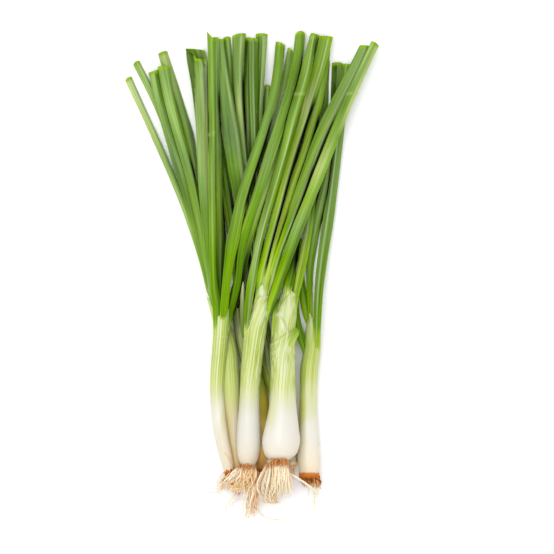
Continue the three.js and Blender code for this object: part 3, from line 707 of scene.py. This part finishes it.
LEAVES = {
    "a1": leaf_look(
        "100 lime moss, 133 lime grass, 160 light light, 189 light mist, 207 mid light, "
        "235 light fresh, 263 light fresh",
        ridge=0.15, fold=0.6, soft=0.1, cut=(0.6, -4.3), arch=0, gaps=[(-1, 200, 222, 0.3)],
        joints=[208.4], run=24, fade=(91, 0, 1, 10), flare=0.5, bend=[(101, 1.2, 8)]),
    "a2": leaf_look(
        "105 moss dark, 133 fresh pine, 151 sun shade, 170 lemon herb, 189 light mid, "
        "207 mist deep, 226 inner dark, 245 bloom slate, 263 mist mist",
        ridge=0.2, fat=[(144, 1.5, 14)], gaps=[(1, 210, 234, 0.55), (1, 142, 168, 0.4)]),
    "a3": leaf_look(
        "96 lime lime, 114 grass lime, 133 moss lime, 160 mid light, 189 slate fresh, "
        "215 mid bloom, 244 fresh fresh",
        ridge=-0.5, line=0, cut=(1.5, -0.7), arch=0.2, run=8, fade=(94.6, 4, 6, 1.4), flare=0.15,
        gaps=[(1, 162, 219, 0.5)], fat=[(141, 0.6, 8)]),
    "a4": leaf_look(
        "96 lime moss, 133 grass moss, 151 lemon grass, 170 light grass, 189 mist inner, "
        "215 mist fresh, 244 mid mid, 263 mid fresh",
        ridge=-0.45, cut=(-0.9, -0.9), arch=1.9, line=0, run=24, fade=(91, 0, 1, 10),
        bend=[(114, 2.6, 18)], gaps=[(1, 213, 258, 0.4), (-1, 120, 144, 0.5)]),
    "a5": leaf_look(
        "96 night gap, 116 dark gap, 133 lime dark, 151 mid sun, 170 wax pale, 189 wax light, "
        "207 mid mid, 263 dark moss",
        bend=[(106, -0.6, 9)], fat=[(110, 1.5, 14)]),
    "b1": leaf_look(
        "120 pale pale, 160 pale mist, 189 pale mist, 207 straw pale, 228 straw wax",
        line=0, wide=0.88, bend=[(205, -0.6, 45)]),
    "b2": leaf_look(
        "220 pale wax, 254 pale pale",
        ridge=0.2, arch=0.9, wide=0.82),
    "b4": leaf_look(
        "114 mid light, 133 fresh light, 151 light sun, 170 deep light, 189 slate mist, "
        "207 bloom bloom, 226 mist mid, 244 pale herb",
        fat=[(188, 0.6, 12)], ridge=0.1, cut=(-0.6, 1.6), arch=0),
    "b5": leaf_look(
        "133 light mid, 151 inner herb, 170 fresh shade, 189 bloom deep, 207 mist mid, "
        "226 pale fresh, 244 mist inner",
        ridge=0.45, fold=0.4, cut=(0.2, 0.2), arch=0.3, gaps=[(1, 178, 194, 0.5)]),
    "b6": leaf_look(
        "189 sun mist, 207 sun slate, 226 inner bloom, 244 straw pale, 260 straw straw",
        fat=[(206, 0.8, 10)], ridge=0.2, fold=0.5, cut=(-0.9, 1), line=0.3),
    "b7": leaf_look(
        "114 mist bloom, 133 mid herb, 160 mid mist, 180 mist straw, 195 pale straw, "
        "215 pale straw, 236 pale wax, 256 fresh wax",
        bend=[(254, 0.4, 8)], fat=[(254, 0.9, 8)], ridge=0.35, fold=0.25, lip=6, cut=(1, 0),
        arch=0.3, line=0, slit=(-0.35, 218)),
    "c1": leaf_look(
        "90 moss light, 114 lime light, 138 pale mid, 170 light lime, 189 light moss, "
        "207 light moss, 226 mid lime, 263 light mid",
        ridge=0.25, line=0.75, fold=0.4, joints=[267.8, 233.2], run=14, fade=(88, 2, 1, 7),
        gaps=[(-1, 104, 134, 0.3)], bend=[(114, -0.3, 14), (245, 0.7, 14)],
        fat=[(114, 1, 14), (249, 1.1, 16), (218, 0.6, 14)]),
    "c2": leaf_look(
        "112 lime lemon, 124 acid lemon, 133 acid mid, 151 sun leek, 170 lemon bloom, "
        "189 lemon sun, 207 lemon mid, 226 straw mid, 244 sun light, 263 light sun",
        ridge=0.35, line=0.6, cut=(0.3, -0.5), arch=0.4, flare=0.35, run=16, fade=(109, 0, 1, 9),
        bend=[(116, -1, 12), (238, -0.9, 16)], fat=[(238, 0.9, 16), (200, 0.4, 14)],
        gaps=[(1, 124, 230, 0.72)]),
    "c3": leaf_look(
        "114 straw lemon, 133 spark spark, 152 spark lemon, 170 lemon lemon, 189 lemon sun, "
        "207 lemon fresh, 226 light sun, 250 sun light",
        flare=0.3, run=10, fade=(110, 0, 1, 8), gaps=[(1, 178, 221, 0.75), (-1, 188, 208, 0.3)]),
    "c4": leaf_look(
        "109 straw lemon, 133 acid lime, 151 lime moss, 170 light dark, 189 light grass, "
        "207 light grass, 226 inner light, 244 mist fresh, 263 mist light",
        ridge=0.35, line=0.85, fold=0.7, soft=0.1, cut=(0.4, 0), arch=0.2, flare=0.3, run=10,
        fade=(109, 0, 1, 5), bend=[(114, 0.9, 10), (166, 0.5, 18)], fat=[(166, 0.6, 18)],
        gaps=[(1, 146, 219, 0.6), (1, 154, 190, 0.95), (-1, 138, 160, 0.35)]),
    "c5": leaf_look(
        "92 lemon deep, 110 acid moss, 133 lime moss, 151 mist mid, 170 sun fresh, "
        "189 straw light, 207 light mid, 226 mid straw, 244 mist straw, 263 pale straw",
        ridge=0.3, joints=[233.7], run=32, fade=(91, 0, 1, 16),
        bend=[(107, 0.5, 9), (166, 0.4, 18)], fat=[(107, 0.6, 9), (166, -0.5, 18)]),
    "d1": leaf_look(
        "92 moss moss, 101 dark moss, 112 night dark",
        run=22, fade=(99, 0, 1, 8)),
    "d2": leaf_look(
        "107 straw acid, 114 acid moss, 123 grass moss, 131 dark night, 140 gap night, "
        "152 gap dark",
        gaps=[(1, 124, 140, 0.8)], flare=0.6, run=6, fade=(111, 0, 1, 7)),
    "d3": leaf_look(
        "96 straw acid, 114 spark sun, 133 spark sun, 151 wax light, 170 light dark, "
        "190 leek pine, 226 slate leek, 244 leek bloom",
        fat=[(228, 1, 9)], ridge=-0.2, fold=0.4, line=0.3, run=22, fade=(101, 0, 1, 14)),
    "e1": leaf_look(
        "80 lime grass, 96 mid grass, 114 inner mid, 133 mist mid, 170 bloom bloom, "
        "189 leek bloom, 207 slate bloom, 244 mid herb",
        ridge=-0.2, fold=0.5, line=0.6, soft=0.12, run=24, fade=(86, 0, 1, 8),
        bend=[(160, -0.5, 40), (230, -0.4, 22)], fat=[(150, 0.5, 30), (228, 0.5, 22)],
        gaps=[(-1, 167, 195, 0.35)]),
    "e2": leaf_look(
        "96 acid lemon, 114 lime grass, 133 light mid, 151 mist fresh, 170 inner mist, "
        "189 mist straw, 226 dark mid, 244 shade inner",
        ridge=0.1, fold=0.5, fat=[(160, 1.2, 16), (138, 0.7, 10), (238, 0.7, 20)],
        gaps=[(1, 150, 190, 0.5), (-1, 153, 190, 0.6)]),
    "e3": leaf_look(
        "96 acid grass, 114 grass moss, 133 sun lemon",
        fat=[(102, 1.2, 12)]),
    "e4": leaf_look(
        "80 lime moss, 96 grass moss, 108 grass dark",
        run=11, fat=[(78, 1.5, 12), (110, 0.9, 14)]),
    "f1": leaf_look(
        "133 gap night, 150 pine moss, 170 deep straw, 189 mid bloom, 207 slate slate, "
        "226 bloom slate, 244 mist mid, 263 mist herb",
        fat=[(207, 0.7, 14), (180, 0.8, 20)], ridge=0.6, fold=0.5, line=0.5, soft=0.1),
    "f2": leaf_look(
        "170 pine mid, 189 inner dark, 207 mist pine, 226 straw dark, 244 mist mist, "
        "263 inner pale",
        ridge=0.3, fold=0.35, line=0.5, cut=(-1.2, 0.4), arch=0.7, gaps=[(1, 205, 245, 0.5)]),
    "f3": leaf_look(
        "151 acid grass, 170 dark pine, 189 night pine, 207 bloom shade, 226 bloom deep, "
        "263 bloom herb",
        fold=0.6, line=0.6),
    "f4": leaf_look(
        "189 night night, 210 deep mist, 235 deep pale, 263 bloom pale",
        ridge=0.3, fold=0.7, line=0.6, soft=0.1, gaps=[(-1, 217, 262, 0.62)]),
    "f5": leaf_look(
        "192 gap night, 206 dark deep, 226 slate pale, 244 bloom mist"),
    "g1": leaf_look(
        "180 dark dark, 244 dark mid, 263 mid mist",
        fold=0.5, line=0.5),
    "g2": leaf_look(
        "151 mid gap, 170 moss night, 189 lime shade, 263 light fresh"),
    "g3": leaf_look(
        "151 light sun, 170 sun sun"),
    "g4": leaf_look(
        "207 wax inner, 226 sun bloom, 244 deep leek, 263 pine deep"),
    "g5": leaf_look(
        "100 night night, 150 dark dark, 207 wax straw, 226 wax straw, 244 mist light, "
        "263 bloom inner",
        cut=(1.6, -1.6)),
}


def section(look, angle):
    """Outline of a leaf's section as across (x over half width) and up (z over half depth): an
    ellipse whose upper half is drawn towards a tent with its crest at the ridge."""
    across, up = np.cos(angle), np.sin(angle)
    tent = np.minimum((across + 1) / (1 + look["ridge"]), (1 - across) / (1 - look["ridge"]))
    folded = (1 - look["fold"]) * up + look["fold"] * np.clip(tent, 0, 1) ** 0.85
    return across, np.where(up > 0, folded, up)


def ribbed(seed, across, up, y):
    """The section's upper half with shallow lengthwise hollows: up times 1 plus two cosines
    across the leaf, whose depth swells and fades slowly along it."""
    random = np.random.default_rng(seed)
    ribs = 0 * across
    for waves in (1.6, 2.7):
        depth = 0.05 + 0.04 * wobble(seed + int(10 * waves), y, 90)
        ribs = ribs + depth * np.cos(math.pi * waves * across + random.uniform(0, 6.3))
    return np.where(up > 0, up * (1 + ribs), up)


def torn(look, y, angle, across, up, depth, inside):
    """A section whose upper wall is missing on the left: there the outside drops to one wall
    above the lower wall, and the hollow keeps to the right. The torn share falls to nothing at
    the tear's lowest height."""
    share, end = look["slit"]
    open_to = -1 + (share + 1) * ease(end, y.max(), y) ** 0.6
    missing = (np.sin(angle) > 0) & (across < open_to) & ~inside
    low = -np.abs(np.sin(angle)) + 1.6 * LEAF_WALL / depth
    narrowed = open_to + 0.08 + (across + 1) / 2 * (0.92 - open_to)
    return np.where(inside, narrowed, across), np.where(missing, low, up), missing


def shadowed(look, across, height):
    """How deep a leaf's edge lies in the shadow of a gap beside it, from 0 to 1: an ease across
    the edge times an ease past both ends of the gap."""
    deepest = 0 * height
    for side, low, high, width in look["gaps"]:
        there = ease(low - SHADOW_END, low + SHADOW_END, height)
        there = there * ease(high + SHADOW_END, high - SHADOW_END, height)
        deepest = np.maximum(deepest, there * ease(1 - width, 1 - 0.4 * width, across * side))
    return deepest


def leaf_tones(look, stalk, x, across, up, height, tip, inner):
    """Colour of a leaf: two flanks that meet at the crest, a painted highlight along it, edges
    made limier by painted light shining through them, deep shadow painted along an edge beside a
    gap, pale rings at old nodes, a bright rim at the cut that is its own lime tissue brightened by
    painted light, a plain inner face, and the stalk's own colour where the leaf runs into it."""
    side = ease(look["ridge"] - look["soft"], look["ridge"] + look["soft"], across)
    tone = mixed(along(look["left"], height), along(look["right"], height), side)
    # the pale line along the crest is a painted highlight
    crest = hump(across, look["ridge"], 0.16) * (up > 0) * look["line"]
    tone = mixed(tone, TONES["wax"], crest)
    # painted light: the edges' lime glow where light shines through the thin tissue, strongest near
    # the cut
    near_tip = ease(9, 1, tip - height)
    tone = mixed(tone, TONES["cut"], np.abs(across) ** 6 * look["edge"] * (0.55 + 0.45 * near_tip))
    tone = mixed(tone, TONES["gap"], shadowed(look, across, height))
    for joint in look["joints"]:
        tone = mixed(tone, TONES["straw"], 0.4 * hump(height - joint, 0.6 * across, 0.8))
    # the cut rim: the wall's own lime tissue, brightened by painted light shining through it
    tone = mixed(tone, TONES["cut"], 0.95 * (1 - ease(0.9, 2.6, tip - height)))
    tone = mixed(tone, TONES["inner"], 0.8 * inner)
    if look["fade"]:
        low, rise, square, length = look["fade"]
        start = low + rise * np.abs(across) ** square
        gone = 1 - ease(start - length / 2, start + length / 2, height)
        below = marked(along(stalk["tones"], height), stalk["marks"], x, height)
        tone = mixed(tone, below, gone)
    return tone


def lie_on_stalk(key, look, base, y, x, z, w, d):
    """The path of a leaf's lower end. It runs down into the middle of the stalk, or, where the
    leaf lies on the stalk, its back follows the stalk's surface, its edges draw in to the
    stalk's own outline, and it sinks below the surface over its run."""
    stalk = strand(f"stalk_{key[0]}")
    low = np.minimum(y, stalk["y"][-1])
    stalk_x, stalk_z, stalk_w, stalk_d = (through(stalk["y"], stalk[k], low) for k in "xzwd")
    if not look["run"]:
        below = ease(base + 1, base - BASE_DEPTH, y)
        x = x * (1 - 0.5 * below) + stalk_x * 0.5 * below
        z = z * (1 - 0.6 * below) + stalk_z * 0.6 * below
        return x, z, w * (1 - 0.35 * below), d
    at_base = np.argmin(np.abs(y - base))
    x = np.where(y < base, x[at_base] - stalk_x[at_base] + stalk_x, x)
    tucked = ease(base + 3, base - 0.75 * look["run"], y)
    left = (x - w) + tucked * np.maximum(stalk_x - stalk_w + EDGE_INSET - (x - w), 0)
    right = (x + w) + tucked * np.minimum(stalk_x + stalk_w - EDGE_INSET - (x + w), 0)
    x, w = (left + right) / 2, np.maximum((right - left) / 2, 0.5)
    out = np.clip((x - stalk_x) / stalk_w, -0.97, 0.97)
    resting = stalk_z + stalk_d * np.sqrt(1 - out ** 2) - d
    near = ease(base + MERGE_LENGTH, base + LOW_END, y)
    z = z * (1 - near) + np.maximum(z, resting + REST_GAP) * near
    above = np.maximum(z[at_base] - resting[at_base] - REST_GAP, 0)
    sunk = resting + REST_GAP - 1.3 * d * ease(base, base - look["run"], y)
    sunk = sunk + above * ease(base - 0.6 * look["run"], base, y)
    return x, np.where(y < base, sunk, z), w, d


def leaf_rings(key, look, known, seed):
    """Rings of a leaf, from its lower end in or on the stalk to the cut and back inside to the
    end of the hollow. Its sections are made rounder by letting down their lower face, slow waves
    make its path and width waver, and humps add its bends, fat places and old nodes. Returns y,
    middle x and z, half width w, half depth d, the path's slope, and which rings are inside."""
    base, tip = known["y"][0], known["y"][-1]
    steps = int((tip - TIP_LENGTH - base) / LEAF_STEP)
    y = np.concatenate([
        np.linspace(base - (look["run"] or BASE_DEPTH), base, BASE_RINGS)[:-1],
        np.linspace(base, tip - TIP_LENGTH, steps)[:-1],
        np.linspace(tip - TIP_LENGTH, tip, int(TIP_LENGTH / TIP_STEP)),
    ])
    rim = len(y)
    y = np.concatenate([y, tip - 0.05 - HOLLOW * np.linspace(0, 1, HOLLOW_RINGS) ** 1.5])
    inside = np.arange(len(y)) >= rim
    x, z, w, d = (through(known["y"], known[k], y) for k in "xzwd")
    slope = through(known["y"], np.gradient(known["x"], known["y"]), y)
    w = np.maximum(w * (1 + 0.03 * wobble(seed, y, 40)), 0.8)
    rounder = np.maximum(d, ROUNDNESS * w)
    z, d = z - (rounder - d), rounder
    w = w * (1 + look["flare"] * ease(base + FLARE_LENGTH, base + LOW_END, y))
    x = x + 0.12 * wobble(seed + 50, y, 60)
    for height, amount, spread in look["bend"]:
        x = x + amount * hump(y, height, spread)
    for height, amount, spread in look["fat"]:
        w = w + amount * hump(y, height, spread)
    x, z, w, d = lie_on_stalk(key, look, base, y, x, z, w, d)
    for joint in look["joints"]:
        swell = 1 + 0.14 * hump(y, joint, 1.1)
        w, d = w * swell, d * swell
    closing = np.where(inside, 1 - 0.75 * ease(tip - 0.6 * HOLLOW, tip - HOLLOW, y), 1)
    w = np.where(inside, (w - LEAF_WALL) * closing, w)
    d = np.where(inside, np.maximum(d - LEAF_WALL, 0.2) * closing, d)
    return y, x, z, w, d, slope, inside


def blade(key, seed):
    """A leaf: a hollow tube over its rings, which lie in planes of constant y and tilt towards
    the cut, whose rim they follow. Past the rim they run back inside, one wall thickness in."""
    look = LEAVES[key]
    known = strand(f"leaf_{key}")
    for side, stiffness in (("x", 1.0), ("z", 0.2), ("w", 0.6)):
        known[side] = faired(known["y"], known[side], stiffness)
    known["w"] = known["w"] * look["wide"]
    base, tip = known["y"][0], known["y"][-1]
    y, x, z, w, d, slope, inside = columns(*leaf_rings(key, look, known, seed))
    angle = turns(LEAF_SIDES)
    across, up = (values + 0 * y for values in section(look, angle))
    up = ribbed(seed, across, up, y)
    inner = (inside & (y < tip - 0.4)) + 0 * across
    if look["slit"]:
        across, up, missing = torn(look, y, angle, across, up, d, inside)
        inner = np.maximum(inner, missing)
    if look["cut"] is None:
        rise = -slope * w * across
    else:
        left, right = look["cut"]
        rise = left + (right - left) * (across + 1) / 2
    rise = rise + look["arch"] * (1 - across ** 2) - look["lip"] * ease(-0.1, 0.5, up)
    near = ease(tip - 2.4 * TIP_LENGTH, tip, y)
    height = y + rise * near
    at_x = x + slope * rise * near + w * across
    at_z = np.maximum(z + d * up, FLOOR_GAP["leaf"])

    up_leaf = np.where(near > 0, y, height) + 0 * across
    size, offset = known["w"].mean(), LEAF_GRAIN_APART * seed
    grain = np.stack([size * across, 0.6 * size * np.sin(angle) + offset + 0 * across,
                      y + 0 * across], -1)
    wax = ease(*WAX_STARTS, y - base) * (1 - shadowed(look, across, up_leaf))
    flat, faces, attributes = closed_tube(np.stack([at_x, height, at_z], -1), {
        "tone": leaf_tones(look, STALKS[key[0]], at_x, across, up, up_leaf, tip, inner),
        "grain": grain, "wax": wax})
    make_piece(f"leaf_{key}_blade", f"leaf_{key}", LEAF_SKIN,
               flat, faces, attributes)


for number, leaf_key in enumerate(LEAVES):
    blade(leaf_key, FIRST_LEAF_SEED + number)

# ---- roots --------------------------------------------------------------------------------

ROOT_SIDES = 6
ROOT_STEPS = 20
PLATE_SIDES = 64
FIRST_ROOT_SEED = 301
ROOT_TONES = {"rust": sheltered("#D07A2C", 0.85), "brown": seen("#8C5418"),
              "tan": sheltered("#F2C088", 0.8), "cream": sheltered("#FFE2B6", 0.78),
              "ivory": sheltered("#FFF3DC", 0.78)}

# Each tuft has a plate (half width over the stalk's, length, upper tone, lower tone) and locks
# of roots. A lock is (how many roots, thickness, how far from the way they start, how far from
# it they end, curl, darkest tone, lightest tone, and the points of the way that it follows).
TUFTS = {
    "a": ((1, 2.6, "rust", "brown"), [
        (18, 0.7, 3, 3.6, 0.5, "brown", "rust", (-13.4, 0.6, 10.5), (-13.2, -1.5, 11),
         (-13.2, -4.4, 9.5)),
        (16, 0.55, 2.6, 3.5, 0.8, "tan", "ivory", (-14, -1, 9), (-17, -5, 8), (-20, -10, 4)),
        (1, 0.6, 0.1, 0.1, 0.2, "rust", "tan", (-11.8, 0, 13), (-13.4, 5, 14), (-15, 8.5, 14.4),
         (-17.8, 11.3, 14.6))]),
    "b": ((1, 2, "rust", "brown"), [
        (8, 0.5, 2, 3, 0.8, "tan", "cream", (-10, 0, 3), (-9, -4, 2.5), (-8, -8, 1.5))]),
    "c": ((0.95, 1.6, "rust", "brown"), [
        (60, 0.42, 4.4, 5.2, 0.8, "rust", "tan", (-2.6, 4, 12.5), (-2.6, 2, 14.5),
         (-2.8, -1.8, 15.5)),
        (44, 1, 3.4, 6, 2.2, "tan", "ivory", (-5, 2, 12.5), (-8.5, -3, 16.5), (-13, -8.5, 13),
         (-17, -12.5, 8)),
        (44, 1, 3.6, 6.5, 2.4, "tan", "cream", (-1.5, 2, 12.5), (-2.5, -4, 17.5), (-5, -10, 15),
         (-7, -14, 11)),
        (36, 0.95, 3.6, 5.2, 1.6, "tan", "ivory", (-1, 1, 10), (0.5, -9, 14), (-0.5, -20, 10),
         (-1.5, -31, 5)),
        (12, 0.8, 1.6, 2.2, 1.2, "tan", "cream", (-12, -1, 12), (-15, -6, 13), (-9, -11.5, 15),
         (0, -9, 15)),
        (5, 0.5, 1, 1.6, 0.6, "cream", "ivory", (-6, 0, 11), (-16, -3.5, 9), (-21, -10, 5),
         (-20, -18, 2)),
        (3, 0.55, 1, 0.8, 0.4, "cream", "ivory", (-8, -6, 10), (-18, -12, 5), (-24, -14.5, 2.5),
         (-29, -13, 1)),
        (2, 0.6, 0.8, 0.5, 0.4, "cream", "ivory", (1, -23, 8), (7, -29, 4), (15, -31, 2.5),
         (23, -28.6, 1.5)),
        (5, 0.5, 2, 3.5, 1, "ivory", "ivory", (-8, -14, 8), (-12, -20, 4), (-14, -24, 2),
         (-15, -30, 1))]),
    "g": ((1, 2, "rust", "brown"), [
        (10, 0.5, 2, 3.5, 0.8, "tan", "cream", (5, 0, 3), (5, -5, 2.5), (5, -10, 1.5))]),
    "d": ((1, 1.4, "rust", "brown"), [
        (70, 0.45, 5.4, 6.6, 0.8, "rust", "tan", (16.6, 7.4, 19.5), (16.6, 4.5, 21.5),
         (16.6, 0.5, 22)),
        (66, 1.15, 5.4, 10.5, 0.8, "cream", "ivory", (16.5, 5, 17), (17, -3, 22), (17, -11, 19),
         (16.5, -18, 12)),
        (30, 1, 2.6, 5, 1.2, "tan", "ivory", (12, 4, 17), (8.5, -4, 21), (7.5, -12, 17),
         (10, -19, 11)),
        (14, 0.7, 4, 4, 1.4, "tan", "cream", (14, -8, 17), (11, -16, 13), (12, -20, 10),
         (16, -20, 8)),
        (3, 1, 0.8, 0.9, 0.3, "ivory", "ivory", (21, -1, 19), (29, -5.6, 17), (37.5, -11.8, 11),
         (46, -19.5, 3))]),
    "f": ((1, 2, "cream", "tan"), [
        (8, 0.5, 1.8, 2.6, 0.6, "tan", "cream", (25.5, 4, 3), (25, -2, 2.5), (25, -7, 1.5))]),
    "e": ((1.08, 3.7, "rust", "brown"), [
        (60, 0.8, 6.2, 6.6, 0.7, "brown", "rust", (35.8, -3.6, 6), (36, -6, 6), (37, -9.5, 4)),
        (26, 0.7, 5.6, 6.2, 0.7, "rust", "tan", (35.8, -5, 7), (36.4, -8, 6), (37.4, -11.6, 4)),
        (7, 0.4, 4, 4.5, 0.6, "cream", "ivory", (37, -6, 5), (38, -13, 3), (39, -22, 1.5)),
        (3, 0.5, 1.5, 2, 0.5, "ivory", "ivory", (38, -8, 4), (38.5, -20, 1.5), (38, -34, 0.8))]),
}


def fibres(paths, thickness, tones):
    """Tubes along many paths at once. paths is (roots, steps, 3), and each ring lies across its
    path's own direction, on two axes built from it and the upright, as wide as the thickness
    there. Both ends are closed by a flat face."""
    ahead = np.gradient(paths, axis=1)
    ahead /= np.linalg.norm(ahead, axis=-1, keepdims=True)
    side = np.cross(ahead, [0.1, 0.0, 1.0])
    side /= np.linalg.norm(side, axis=-1, keepdims=True)
    upward = np.cross(side, ahead)
    angle = turns(ROOT_SIDES)
    radius = thickness[..., None, None] / 2
    ring = side[:, :, None] * np.cos(angle)[:, None] + upward[:, :, None] * np.sin(angle)[:, None]
    points = paths[:, :, None] + radius * ring
    count, steps = paths.shape[:2]
    body = points.reshape(-1, 3)
    block = steps * ROOT_SIDES
    quads = np.concatenate([tube_faces(steps, ROOT_SIDES, n * block) for n in range(count)])
    j = np.arange(ROOT_SIDES)
    starts = np.arange(count)[:, None] * block
    caps = np.concatenate([starts + j[::-1], starts + block - ROOT_SIDES + j])
    colour = np.repeat(tones.reshape(-1, 3), ROOT_SIDES, 0)
    return body, quads[:, ::-1], caps[:, ::-1], colour


def lock(plan, random):
    """The roots of one lock. Each keeps its own place beside the way, at a distance that grows
    from one end to the other, with sine waves across it that grow along the root, thins
    towards its point, and ends at its own share of the way."""
    count, thick, near, apart, curl, darkest, lightest, *way = plan
    share = np.linspace(0, 1, ROOT_STEPS)[None]
    t = share * random.uniform(0.72, 1, (count, 1))
    way = np.array(way, float)
    knots = np.linspace(0, 1, len(way))
    middle = np.stack([through(knots, way[:, n], t) for n in range(3)], -1)
    turn = random.uniform(0, 2 * math.pi, (count, 1))
    far = np.sqrt(random.uniform(0, 1, (count, 1)))
    radius = far * (near + (apart - near) * t ** 0.8)
    beside = np.stack([radius * np.cos(turn), 0.15 * radius * np.sin(turn),
                       0.6 * radius * np.sin(turn)], -1)
    phase = random.uniform(0, 2 * math.pi, (count, 1, 3))
    waves = random.uniform(0.5, 1.8, (count, 1, 3))
    swing = np.sin(2 * math.pi * waves * share[..., None] + phase) * [0.8, 0.35, 0.5]
    paths = middle + beside + curl * (0.15 + share[..., None]) * swing
    paths[..., 2] = np.maximum(paths[..., 2], FLOOR_GAP["root"])
    thickness = thick * random.uniform(0.65, 1.2, (count, 1)) * (1.1 - 0.7 * share ** 2)
    paler = random.uniform(0, 1, (count, 1)) + 0 * share
    tone = mixed(ROOT_TONES[darkest], ROOT_TONES[lightest], paler)
    tone = mixed(tone, ROOT_TONES["rust"], 0.85 * (1 - ease(0.0, 0.2, t)))
    return fibres(paths, thickness, tone)


def root_plate(x, bottom, z, w, plan, seed):
    """The hard plate under a bulb: a short rough drum, narrower below, whose radius and length
    carry small lumps from sines round it."""
    wide, length, upper, lower = plan
    y = np.array([[0.9, 0.3, -0.2 * length, -0.5 * length, -0.8 * length, -length]]).T
    size = np.array([[0.93, 1.0, 1.0, 0.95, 0.85, 0.5]]).T * wide
    angle = turns(PLATE_SIDES)
    lumps = 1 + 0.04 * np.sin(7 * angle + seed) + 0.04 * np.sin(17 * angle + 2 * seed)
    radius = w * size * lumps
    ragged = 0.35 * np.sin(11 * angle + seed) + 0.25 * np.sin(23 * angle)
    points = np.stack([x + radius * np.cos(angle), bottom + y + ragged * (y < -1),
                       np.maximum(z + radius * np.sin(angle), FLOOR_GAP["plate"])], -1)
    shade = ease(-0.9 * length, -0.3 * length, y) + 0 * radius
    tone = mixed(ROOT_TONES[lower], ROOT_TONES[upper], shade)
    tone = mixed(tone, ROOT_TONES["tan"], 0.4 * ease(-0.3, 0.9, y) + 0 * radius)
    return closed_tube(points, {"tone": tone})


def tuft(key, seed):
    """A root tuft: its plate, with its locks of roots sunk into it."""
    plate, locks = TUFTS[key]
    random = np.random.default_rng(seed)
    stalk = strand(f"stalk_{key}")
    points, faces, made = root_plate(stalk["x"][0], stalk["y"][0], stalk["z"][0],
                                     stalk["w"][0], plate, seed)
    tones = [made["tone"]]
    for plan in locks:
        body, quads, caps, colour = lock(plan, random)
        faces += [quads + len(points), caps + len(points)]
        points = np.concatenate([points, body])
        tones.append(colour)
    make_piece(f"roots_{key}_fibres", f"roots_{key}", ROOT_FIBRE,
               points, faces, {"tone": np.concatenate(tones)})


for number, tuft_key in enumerate(TUFTS):
    tuft(tuft_key, FIRST_ROOT_SEED + number)

# ---- floor, light and camera --------------------------------------------------------------

VIEW_MIDDLE = np.array([15.5, 119.66, 12.0])     # drawing point in the middle of the view
VIEW_WIDTH = 343.5                               # width of the view at that point
CAMERA_HEIGHT = 6000.0
SENSOR = 36.0
FLOOR_WIDTH = 8000.0
PAPER_TOOTH = 2.5                                # coarser than real paper's, so that it shows
DOME_STRENGTH = 1.12

# Each softbox: its place, the point that it faces, its side and its power in watts.
SOFTBOXES = {
    "key_softbox": ((-350, 150, 1400), (0, 0, 0), 900, 7.2),
    "small_softbox": ((50, -350, 900), (0, -50, 0), 160, 0.25),
}


def floor():
    """A wide matt white sheet under the bunch, with a faint paper tooth."""
    material, tree = new_material("floor_matt_paper")
    at = add(tree, "ShaderNodeTexCoord").outputs["Object"]
    tooth = add(tree, "ShaderNodeTexNoise", {"Vector": at, "Scale": 1 / (PAPER_TOOTH * MM)})
    light = add(tree, "ShaderNodeMix", {
        FACTOR: tooth, COLOUR_A: rgba(linear("#F6F6F7")), COLOUR_B: rgba(linear("#FAFAFB"))},
        data_type="RGBA")
    paper = add(tree, "ShaderNodeBsdfPrincipled", {
        "Base Color": light.outputs[MIXED], "Roughness": 0.95, "Specular IOR Level": 0.1})
    add(tree, "ShaderNodeOutputMaterial", {"Surface": paper})
    half = FLOOR_WIDTH / 2 * MM
    mesh = bpy.data.meshes.new("floor")
    mesh.from_pydata([(-half, -half, 0), (half, -half, 0), (half, half, 0), (-half, half, 0)],
                     [], [(0, 1, 2, 3)])
    mesh.materials.append(material)
    sheet = bpy.data.objects.new("floor", mesh)
    bpy.context.scene.collection.objects.link(sheet)


def softbox(name, place, aim, size, power):
    """A square area light at a place, turned to face a point, hidden from the camera."""
    place, aim = Vector(place) * MM, Vector(aim) * MM
    lamp = bpy.data.lights.new(name, "AREA")
    lamp.shape = "SQUARE"
    lamp.size = size * MM
    lamp.energy = power
    box = bpy.data.objects.new(name, lamp)
    bpy.context.scene.collection.objects.link(box)
    box.location = place
    box.rotation_euler = (aim - place).to_track_quat("-Z", "Y").to_euler()
    box.visible_camera = False


def lighting():
    """A white dome for the even studio light, a large softbox above the leaf ends that gives
    the leaves their bright crests, and a small one nearer the roots for the bulbs' highlight."""
    world = bpy.data.worlds.new("studio")
    world.use_nodes = True
    dome = world.node_tree.nodes["Background"]
    dome.inputs["Color"].default_value = (1, 1, 1, 1)
    dome.inputs["Strength"].default_value = DOME_STRENGTH
    bpy.context.scene.world = world
    for name, setting in SOFTBOXES.items():
        softbox(name, *setting)


def camera():
    """A long lens far above the middle of the view, so that heights don't shift the outline."""
    middle = (VIEW_MIDDLE + DRAWING) * MM
    data = bpy.data.cameras.new("overhead")
    data.sensor_width = SENSOR
    data.lens = SENSOR * (CAMERA_HEIGHT - VIEW_MIDDLE[2]) / VIEW_WIDTH
    data.clip_end = 50
    eye = bpy.data.objects.new("overhead", data)
    bpy.context.scene.collection.objects.link(eye)
    eye.location = (middle[0], middle[1], CAMERA_HEIGHT * MM)
    bpy.context.scene.camera = eye


floor()
lighting()
camera()
bpy.context.scene.view_settings.view_transform = "Standard"
